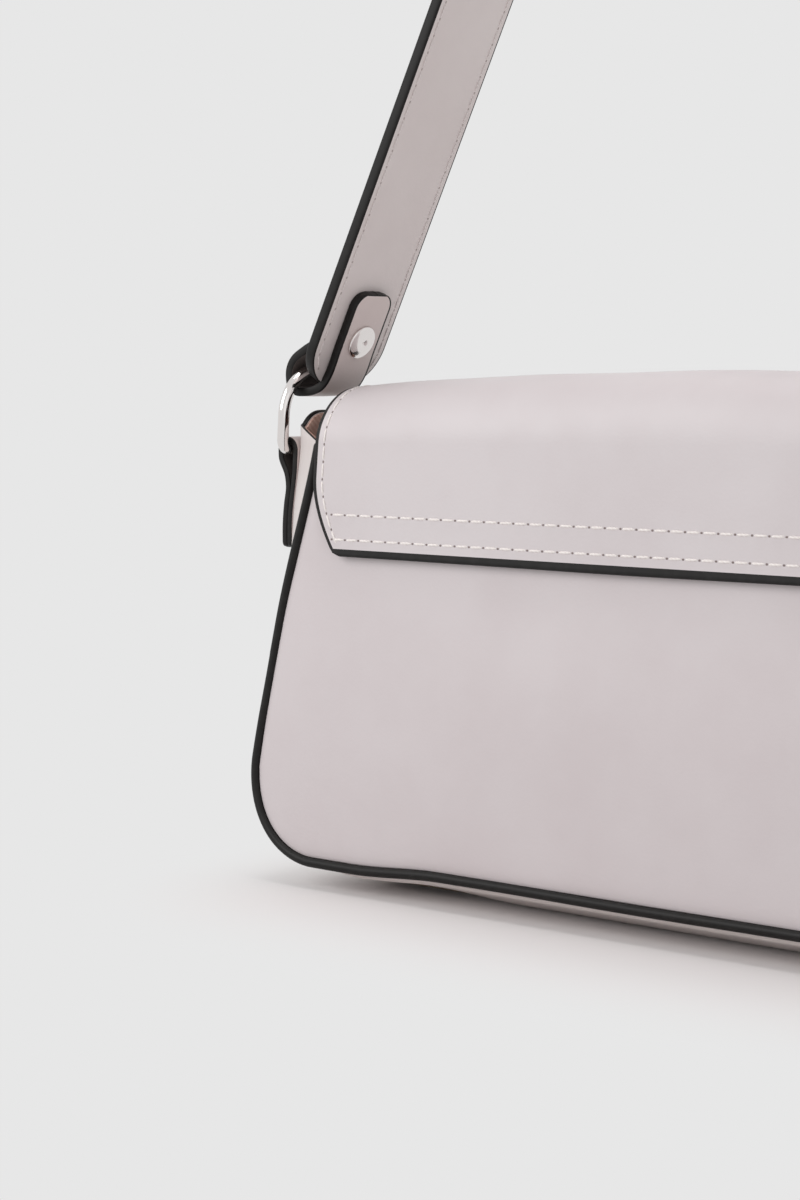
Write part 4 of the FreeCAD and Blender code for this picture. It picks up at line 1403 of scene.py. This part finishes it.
    def build(self) -> list[bpy.types.Object]:
        """Make the flap's pieces.

        Returns:
            The flap's pieces.
        """
        leather, lining, stitches = self.leather(), self.lining(), self.stitches()
        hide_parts("flap_back", "flap_front")
        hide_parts("flap_lining")
        for piece in (leather, lining, stitches):
            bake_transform(piece)
        discs = self.snaps()
        return [leather, lining, stitches] + discs


@dataclass
class Hanger:
    """One end's hardware: the sewn tab, the D-ring, the strap's tongue and its rivet."""

    finishes: Finishes
    end: End

    # The tab, on the gusset.
    seat: float = 126.55
    tab_thick: float = 1.8
    tab_half: float = 10.8
    tab_end: float = 94.5
    tab_round: float = 1.6
    tab_margin: float = 0.5
    tab_gap: float = 0.05
    stitch_inset: float = 2.0
    stitch_top: float = 109.0
    stitch_lift: float = 0.17

    # The ring.
    wire: float = 1.7
    room: float = 0.3
    bow_radius: float = 13.2
    bar_height: float = 123.0
    bow_height: float = 133.0
    ring_corner: float = 3.0
    ring_lean: float = math.radians(3.5)

    # The tongue on the strap's foot, and the rivet through both.
    tongue_thick: float = 2.4
    tongue_half: float = 7.7
    tongue_round: float = 4.6
    tongue_margin: float = 1.3
    tongue_gap: float = 0.05
    lean: float = math.radians(26.1)
    foot: float = 141.5
    foot_half: float = 120.65
    strap_thick: float = 3.4
    rivet_height: float = 156.0
    rivet_radius: float = 5.0
    rivet_gap: float = 0.1

    # The two strips' grid and crown.
    stations: int = 140
    columns: int = 25
    way_reach: float = 0.4
    crown: float = 0.12

    @property
    def middle(self) -> float:
        """The ring's distance from the middle of the bag."""
        return self.seat + self.tab_thick + self.wire + self.room

    def leg(self, offset: float, height: float) -> float:
        """The distance from the middle to a line beside the strap's leg, outside its inner face."""
        return self.foot_half - (height - self.foot) * math.tan(self.lean) + offset / math.cos(self.lean)

    def folded(self, name: str, line: np.ndarray, half: float, thick: float, end_round: float,
               margin: float, faces: tuple[bpy.types.Material, bpy.types.Material]) -> bpy.types.Object:
        """Make a narrow strip that follows a line in the XZ plane, with a crown on its right face.

        The crown is a parabola over the strip's width.

        Args:
            name: The piece's name.
            line: The strip's middle line, away from the bag's middle and up.
            half: Half its width.
            thick: Its thickness.
            end_round: Radius of its corners at both ends.
            margin: Width of its margin, whose outer half is painted.
            faces: Finishes of its right and left faces, as seen along the line.

        Returns:
            The strip's object.
        """
        points, left, width = strip_stations(line, self.stations, self.way_reach, half, end_round)
        y = spread_across(width, margin, self.columns)
        crown = self.crown * (1 - (y / half) ** 2)
        to_end = np.array([self.end.value, 1, 1])
        top = raised(points, -left, y, thick / 2 + crown) * to_end
        under = raised(points, left, y, thick / 2) * to_end
        return Strip(name, top, under, [*faces, self.finishes.paint], painted_columns=(1, 1),
                     painted_rows=(1, 1), edge_round_mm=0.3).build()

    def tab(self) -> bpy.types.Object:
        """Make the tab: up the gusset, over the ring's bar and down again over itself.

        Returns:
            The tab's object.
        """
        inner = self.seat + self.tab_thick / 2
        outer = self.seat + self.tab_thick * 1.5
        reach = self.wire + self.room + self.tab_thick / 2
        angle = np.linspace(np.pi, 0, 14)
        fold = np.stack([self.middle + reach * np.cos(angle), self.bar_height + reach * np.sin(angle)], 1)
        sewn = [(outer + 2 * self.tab_gap + ridge_swell(z), z) for z in (112.0, 107.0, 101.0, self.tab_end)]
        down = curve_through([(self.middle + reach, self.bar_height),
                              (self.middle + reach - 0.2, 120.4), (outer + 1.7, 116.0)] + sewn)
        rise = np.linspace(self.tab_end, 117.0, 12)
        up = np.stack([inner + self.tab_gap + ridge_swell(rise), rise], 1)
        # The dark flesh side inside the tab's fold is partly painted shade.
        return self.folded(f"{self.end.name.lower()}_tab_leather", np.vstack([up, fold, down[1:]]),
                           self.tab_half, self.tab_thick, self.tab_round, self.tab_margin,
                           (self.finishes.flesh, self.finishes.tongue))

    def tab_stitches(self) -> bpy.types.Object:
        """Sew the tab to the gusset along its two sides, its end and below the fold.

        Returns:
            The stitches' object.
        """
        sewing = Stitching(f"{self.end.name.lower()}_tab_stitches", self.finishes.thread,
                           self.finishes.hole, pitch_mm=3.4, thread_mm=0.5)
        sign, side = self.end.value, self.tab_half - self.stitch_inset
        level = np.linspace(self.tab_end + self.stitch_inset, self.stitch_top, 20)
        across = np.linspace(-side, side, len(level))
        same = np.ones(len(level))
        for y, z in ((-side * same, level), (side * same, level),
                     (across, level[0] * same), (across, level[-1] * same)):
            x = sign * (self.seat + 2 * self.tab_thick + self.stitch_lift + ridge_swell(z))
            sewing.add_row(np.stack([x, y, z], axis=1), np.stack([sign * same, 0 * same, 0 * same], axis=1))
        return sewing.build()

    def ring(self) -> bpy.types.Object:
        """Make the D-ring: a straight bar, two small corners, two sides and a half circle of wire.

        Returns:
            The ring's object.
        """
        r, c = self.bow_radius, self.ring_corner
        bow = np.linspace(0, np.pi, 64)
        low = np.linspace(0, np.pi / 2, 12)
        right = np.stack([r * np.cos(bow), self.bow_height + r * np.sin(bow)], 1)
        left_corner = np.stack([-r + c - c * np.cos(low), self.bar_height + c - c * np.sin(low)], 1)
        right_corner = np.stack([r - c + c * np.sin(low), self.bar_height + c - c * np.cos(low)], 1)
        bar = np.linspace(-r + c, r - c, 14)[1:-1]
        flat = np.stack([bar, np.full(len(bar), self.bar_height)], 1)
        line = np.vstack([right, left_corner, flat, right_corner])
        away = self.middle - (line[:, 1] - self.bar_height) * math.tan(self.ring_lean)
        path = np.stack([self.end.value * away, line[:, 0], line[:, 1]], 1)
        return tube(f"{self.end.name.lower()}_d_ring", path, np.array([1.0, 0.0, 0.0]), self.wire, True,
                    self.finishes.steel, 28)

    def tongue(self) -> bpy.types.Object:
        """Make the tongue: down inside the strap, under the ring's bow and up outside the strap.

        Returns:
            The tongue's object.
        """
        beside = self.tongue_gap + self.tongue_thick / 2
        inside = [(self.leg(-beside, z), z) for z in (168.0, 160.0, 152.0, 144.6)]
        outside = [(self.leg(self.strap_thick + beside, z), z) for z in (155.8, 160.0, 165.0)]
        loop = [(self.middle + x, z) for x, z in (
            (-9.7, 141.4), (-6.4, 140.1), (-3.2, 139.7), (-0.6, 139.8), (1.5, 140.8),
            (2.3, 142.8), (2.3, 146.2), (0.6, 149.1), (-4.0, 152.0))]
        # The dark flesh side inside the tongue's loop is partly painted shade.
        return self.folded(f"{self.end.name.lower()}_tongue_leather", curve_through(inside + loop + outside),
                           self.tongue_half, self.tongue_thick, self.tongue_round, self.tongue_margin,
                           (self.finishes.tongue, self.finishes.flesh))

    def rivet(self) -> bpy.types.Object:
        """Make the rivet: two low domed heads joined by a shank, square to the strap.

        A head's dome has a radius of the root of a cosine and a height of the power 0.9 of a sine,
        with a small dent at its pole.

        Returns:
            The rivet's object.
        """
        sign, r = self.end.value, self.rivet_radius
        axis = np.array([sign * math.cos(self.lean), 0.0, math.sin(self.lean)])
        away = self.leg(self.strap_thick / 2, self.rivet_height)
        centre = np.array([sign * away, 0.0, self.rivet_height])
        reach = self.strap_thick / 2 + self.tongue_thick + self.rivet_gap
        angle = np.linspace(np.pi / 2, 0, 12)
        dome = np.stack([r * np.cos(angle) ** 0.5, 0.55 + 0.75 * np.sin(angle) ** 0.9], 1)
        dent = np.array([[0.0, 0.98], [0.45, 1.02], [0.8, 1.24]])
        upper = np.vstack([dent, dome[1:], [[r, 0.12], [r - 0.2, 0.0], [1.5, 0.0]]])
        upper[:, 1] += reach
        lower = upper[::-1] * np.array([1, -1])
        return turned(f"{self.end.name.lower()}_rivet_steel", np.vstack([upper, lower]).tolist(), centre,
                      axis, self.finishes.steel)

    def build(self) -> list[bpy.types.Object]:
        """Make the end's pieces; the tab and ring stay on the bag, the tongue and rivet on the strap.

        Returns:
            The end's pieces.
        """
        name = self.end.name.lower()
        tab, sewing, ring = self.tab(), self.tab_stitches(), self.ring()
        tongue, rivet = self.tongue(), self.rivet()
        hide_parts(f"{name}_tab")
        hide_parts(f"{name}_ring")
        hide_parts(f"{name}_strap_tongue")
        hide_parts(f"{name}_rivet")
        for piece, body, slot in ((tab, "bag", "grey_leather"), (sewing, "bag", "grey_leather"),
                                  (ring, "bag", "polished_metal"), (tongue, "strap", "grey_leather"),
                                  (rivet, "strap", "polished_metal")):
            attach(piece, body)
        return [tab, sewing, ring, tongue, rivet]


@dataclass
class ShoulderStrap:
    """The strap: two straight legs and a bend at the top, with a row of stitches beside each edge."""

    finishes: Finishes
    width: float = 30.0
    thick: float = 3.4
    lean: float = math.radians(26.1)
    foot: float = 141.5
    foot_half: float = 120.65
    apex: float = 341.0
    bend: float = 34.0
    bend_steps: int = 40
    end_round: float = 12.0
    crown: float = 0.1
    margin: float = 0.8
    stitch_inset: float = 2.1
    bare_stations: int = 6
    stations: int = 420
    columns: int = 29
    way_reach: float = 0.6

    def line(self) -> np.ndarray:
        """Return the middle line from the left end to the right end: a leg, an arc, a flat, and back.

        Returns:
            The line's points, along and up the bag.
        """
        half = self.thick / 2
        radius = self.bend + half
        turn = math.pi / 2 - self.lean
        corner = self.foot_half - (self.apex - self.foot) * math.tan(self.lean)
        centre_x = corner - self.bend * math.tan(turn / 2)
        angle = np.linspace(math.pi / 2, self.lean, self.bend_steps)
        arc = np.stack([centre_x + radius * np.cos(angle),
                        self.apex - self.bend + radius * np.sin(angle)], 1)
        start = [[self.foot_half + half * math.cos(self.lean), self.foot + half * math.sin(self.lean)]]
        right = np.vstack([arc, start])
        return np.vstack([right[::-1] * np.array([-1, 1]), right])

    def grid(self) -> tuple[np.ndarray, np.ndarray, np.ndarray]:
        """Return points along the strap, their outward normals and the half width there."""
        return strip_stations(self.line(), self.stations, self.way_reach, self.width / 2, self.end_round)

    def band(self) -> bpy.types.Object:
        """Make the band: a flat strip with a slight crown on both faces and painted edges.

        The crown is one less the fourth power of the place across.

        Returns:
            The band's object.
        """
        points, normal, half = self.grid()
        y = spread_across(half, self.margin, self.columns)
        height = self.thick / 2 - self.crown + self.crown * (1 - (2 * y / self.width) ** 4)
        # The strap's lighter colour is painted fill light.
        leather = self.finishes.strap
        return Strip("strap_band", raised(points, normal, y, height), raised(points, normal, y, -height),
                     [leather, leather, self.finishes.paint], painted_columns=(1, 1), painted_rows=(1, 1),
                     edge_round_mm=0.35, edge_steps=8, paint_under=True).build()

    def stitches(self) -> bpy.types.Object:
        """Sew the two layers together beside both edges, seen on both faces.

        Returns:
            The stitches' object.
        """
        sewing = Stitching("strap_stitches", self.finishes.strap_thread, self.finishes.strap_hole,
                           pitch_mm=4.8, thread_mm=0.6)
        points, normal, half = self.grid()
        keep = slice(self.bare_stations, -self.bare_stations)
        for side in (1.0, -1.0):
            up = side * np.stack([normal[:, 0], 0 * normal[:, 0], normal[:, 1]], -1)
            for edge in (1.0, -1.0):
                path = raised(points, normal, edge * (half - self.stitch_inset), side * self.thick / 2)
                sewing.add_row(path[keep], up[keep])
        return sewing.build()

    def build(self) -> list[bpy.types.Object]:
        """Make the band and its stitches and set them on the strap's body.

        Returns:
            The band and the stitches.
        """
        band, stitches = self.band(), self.stitches()
        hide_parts("strap")
        for piece in (band, stitches):
            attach(piece, "strap")
        return [band, stitches]


@dataclass
class Studio:
    """A pale floor that fades into the backdrop, soft lamps and the camera."""

    pale: str = "#E7E7E7"
    # The paper near the bag is tinted warm: painted bounce light from the leather in its shadow.
    bounce_tinted_paper: str = "#E2DDDC"
    sky: str = "#F4F4F5"
    sky_strength: float = 0.54
    floor_half_mm: float = 4000.0
    floor_drop_mm: float = 0.05
    shadow_half: tuple[float, float, float] = (0.085, 0.025, 0.0)
    shadow_fade: float = 0.08
    camera_mm: tuple[float, float, float] = (378.0, -566.0, 147.5)
    yaw: float = math.radians(40)
    pitch: float = math.radians(5.2)
    focal_pixels: float = 2582.0
    sensor_mm: float = 36.0

    def floor(self) -> bpy.types.Object:
        """Make the floor: it takes shadows near the bag and turns to the plain backdrop further out.

        The backdrop's share is eased in with the distance outside a box on the floor.

        Returns:
            The floor's object.
        """
        material, tree, out = new_material("pale_paper_floor")
        place = add_node(tree, "ShaderNodeTexCoord").outputs["Object"]
        apart = add_node(tree, "ShaderNodeVectorMath", {"operation": "ABSOLUTE"}, {0: place})
        past = add_node(tree, "ShaderNodeVectorMath", {"operation": "SUBTRACT"}, {
            0: apart.outputs["Vector"], 1: self.shadow_half})
        held = add_node(tree, "ShaderNodeVectorMath", {"operation": "MAXIMUM"}, {
            0: past.outputs["Vector"], 1: (0.0, 0.0, 0.0)})
        far = add_node(tree, "ShaderNodeVectorMath", {"operation": "LENGTH"}, {0: held.outputs["Vector"]})
        fade = add_node(tree, "ShaderNodeMapRange", {"interpolation_type": "SMOOTHSTEP"}, {
            "Value": far.outputs["Value"], "From Min": 0.0, "From Max": self.shadow_fade})
        # The diffuse paper's warm tint is painted bounce light in the bag's shadow.
        bounce_tinted_paper = add_node(tree, "ShaderNodeBsdfDiffuse", inputs={
            "Color": linear(self.bounce_tinted_paper), "Roughness": 0.5})
        glow = add_node(tree, "ShaderNodeEmission", inputs={"Color": linear(self.pale), "Strength": 1.0})
        mix = add_node(tree, "ShaderNodeMixShader", inputs={
            0: fade.outputs["Result"], 1: bounce_tinted_paper.outputs["BSDF"], 2: glow.outputs["Emission"]})
        tree.links.new(mix.outputs["Shader"], out.inputs["Surface"])
        corners = np.array([[-1, -1], [1, -1], [1, 1], [-1, 1]]) * self.floor_half_mm
        verts = np.column_stack([corners, np.full(len(corners), -self.floor_drop_mm)])
        floor = put_mesh("floor", verts, np.array([[0, 1, 2, 3]]), np.zeros(1, int), [material])
        return floor

    def world(self) -> None:
        """Light the scene evenly, and show the plain backdrop to the eye and in the metal."""
        world = bpy.data.worlds.new("studio")
        bpy.context.scene.world = world
        world.use_nodes = True
        tree = world.node_tree
        tree.nodes.clear()
        out = tree.nodes.new("ShaderNodeOutputWorld")
        soft = add_node(tree, "ShaderNodeBackground", inputs={
            "Color": linear(self.sky), "Strength": self.sky_strength})
        seen = add_node(tree, "ShaderNodeBackground", inputs={"Color": linear(self.pale), "Strength": 1.0})
        path = add_node(tree, "ShaderNodeLightPath")
        first = add_node(tree, "ShaderNodeMath", {"operation": "MAXIMUM"}, {
            0: path.outputs["Is Camera Ray"], 1: path.outputs["Is Glossy Ray"]})
        both = add_node(tree, "ShaderNodeMath", {"operation": "MAXIMUM"}, {
            0: first.outputs[0], 1: path.outputs["Is Transmission Ray"]})
        mix = add_node(tree, "ShaderNodeMixShader", inputs={
            0: both.outputs[0], 1: soft.outputs["Background"], 2: seen.outputs["Background"]})
        tree.links.new(mix.outputs["Shader"], out.inputs["Surface"])

    def lamp(self, name: str, place: tuple[float, float, float], aim: tuple[float, float, float],
             size: float, power: float) -> bpy.types.Object:
        """Add a square softbox that looks at a point.

        Args:
            name: The lamp's name.
            place: Where it hangs, in metres.
            aim: The point that it looks at.
            size: Its side in metres.
            power: Its power in watts.

        Returns:
            The lamp's object.
        """
        data = bpy.data.lights.new(name, "AREA")
        data.size = size
        data.energy = power
        lamp = bpy.data.objects.new(name, data)
        lamp.location = place
        lamp.rotation_euler = (Vector(aim) - Vector(place)).to_track_quat("-Z", "Y").to_euler()
        bpy.context.scene.collection.objects.link(lamp)
        return lamp

    def camera(self) -> bpy.types.Object:
        """Set the camera where the photograph was taken from.

        Returns:
            The camera's object.
        """
        data = bpy.data.cameras.new("camera")
        data.sensor_fit = "VERTICAL"
        data.sensor_height = self.sensor_mm
        data.sensor_width = self.sensor_mm * FRAME_PIXELS[0] / FRAME_PIXELS[1]
        data.lens = self.focal_pixels * self.sensor_mm / FRAME_PIXELS[1]
        data.clip_start = 0.01
        camera = bpy.data.objects.new("camera", data)
        camera.location = [c * MM for c in self.camera_mm]
        camera.rotation_euler = (math.pi / 2 - self.pitch, 0.0, self.yaw)
        bpy.context.scene.collection.objects.link(camera)
        bpy.context.scene.camera = camera
        return camera

    def build(self) -> None:
        """Set the whole studio up."""
        bpy.context.scene.view_settings.view_transform = "Standard"
        self.floor()
        self.world()
        self.lamp("key_softbox", (-0.05, 0.08, 1.05), (0.0, 0.0, 0.1), 0.5, 5.0)
        self.lamp("front_softbox", (-0.65, -0.95, 0.7), (0.0, 0.0, 0.08), 0.8, 7.2)
        self.lamp("fill_softbox", (0.8, -0.7, 0.4), (0.0, 0.0, 0.15), 0.8, 0.35)
        self.camera()


def dress_nodes(frame: dict, finishes: Finishes) -> None:
    """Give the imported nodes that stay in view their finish.

    Args:
        finishes: The bag's materials.
    """
    board = frame["nodes"]["base_board"]
    board.data.materials.clear()
    board.data.materials.append(finishes.board)


def main() -> None:
    logging.basicConfig(level=logging.INFO, format="%(name)s: %(message)s")
    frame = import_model()
    finishes = Finishes.made()
    shell = Shell(finishes)
    pieces = shell.build() + Flap(finishes, shell).build() + ShoulderStrap(finishes).build()
    for end in End:
        pieces += Hanger(finishes, end).build()
    dress_nodes(frame, finishes)
    for piece in pieces:
        LOG.info("%s: %d faces", piece.name, len(piece.data.polygons))
    Studio().build()


if __name__ == "__main__":
    main()
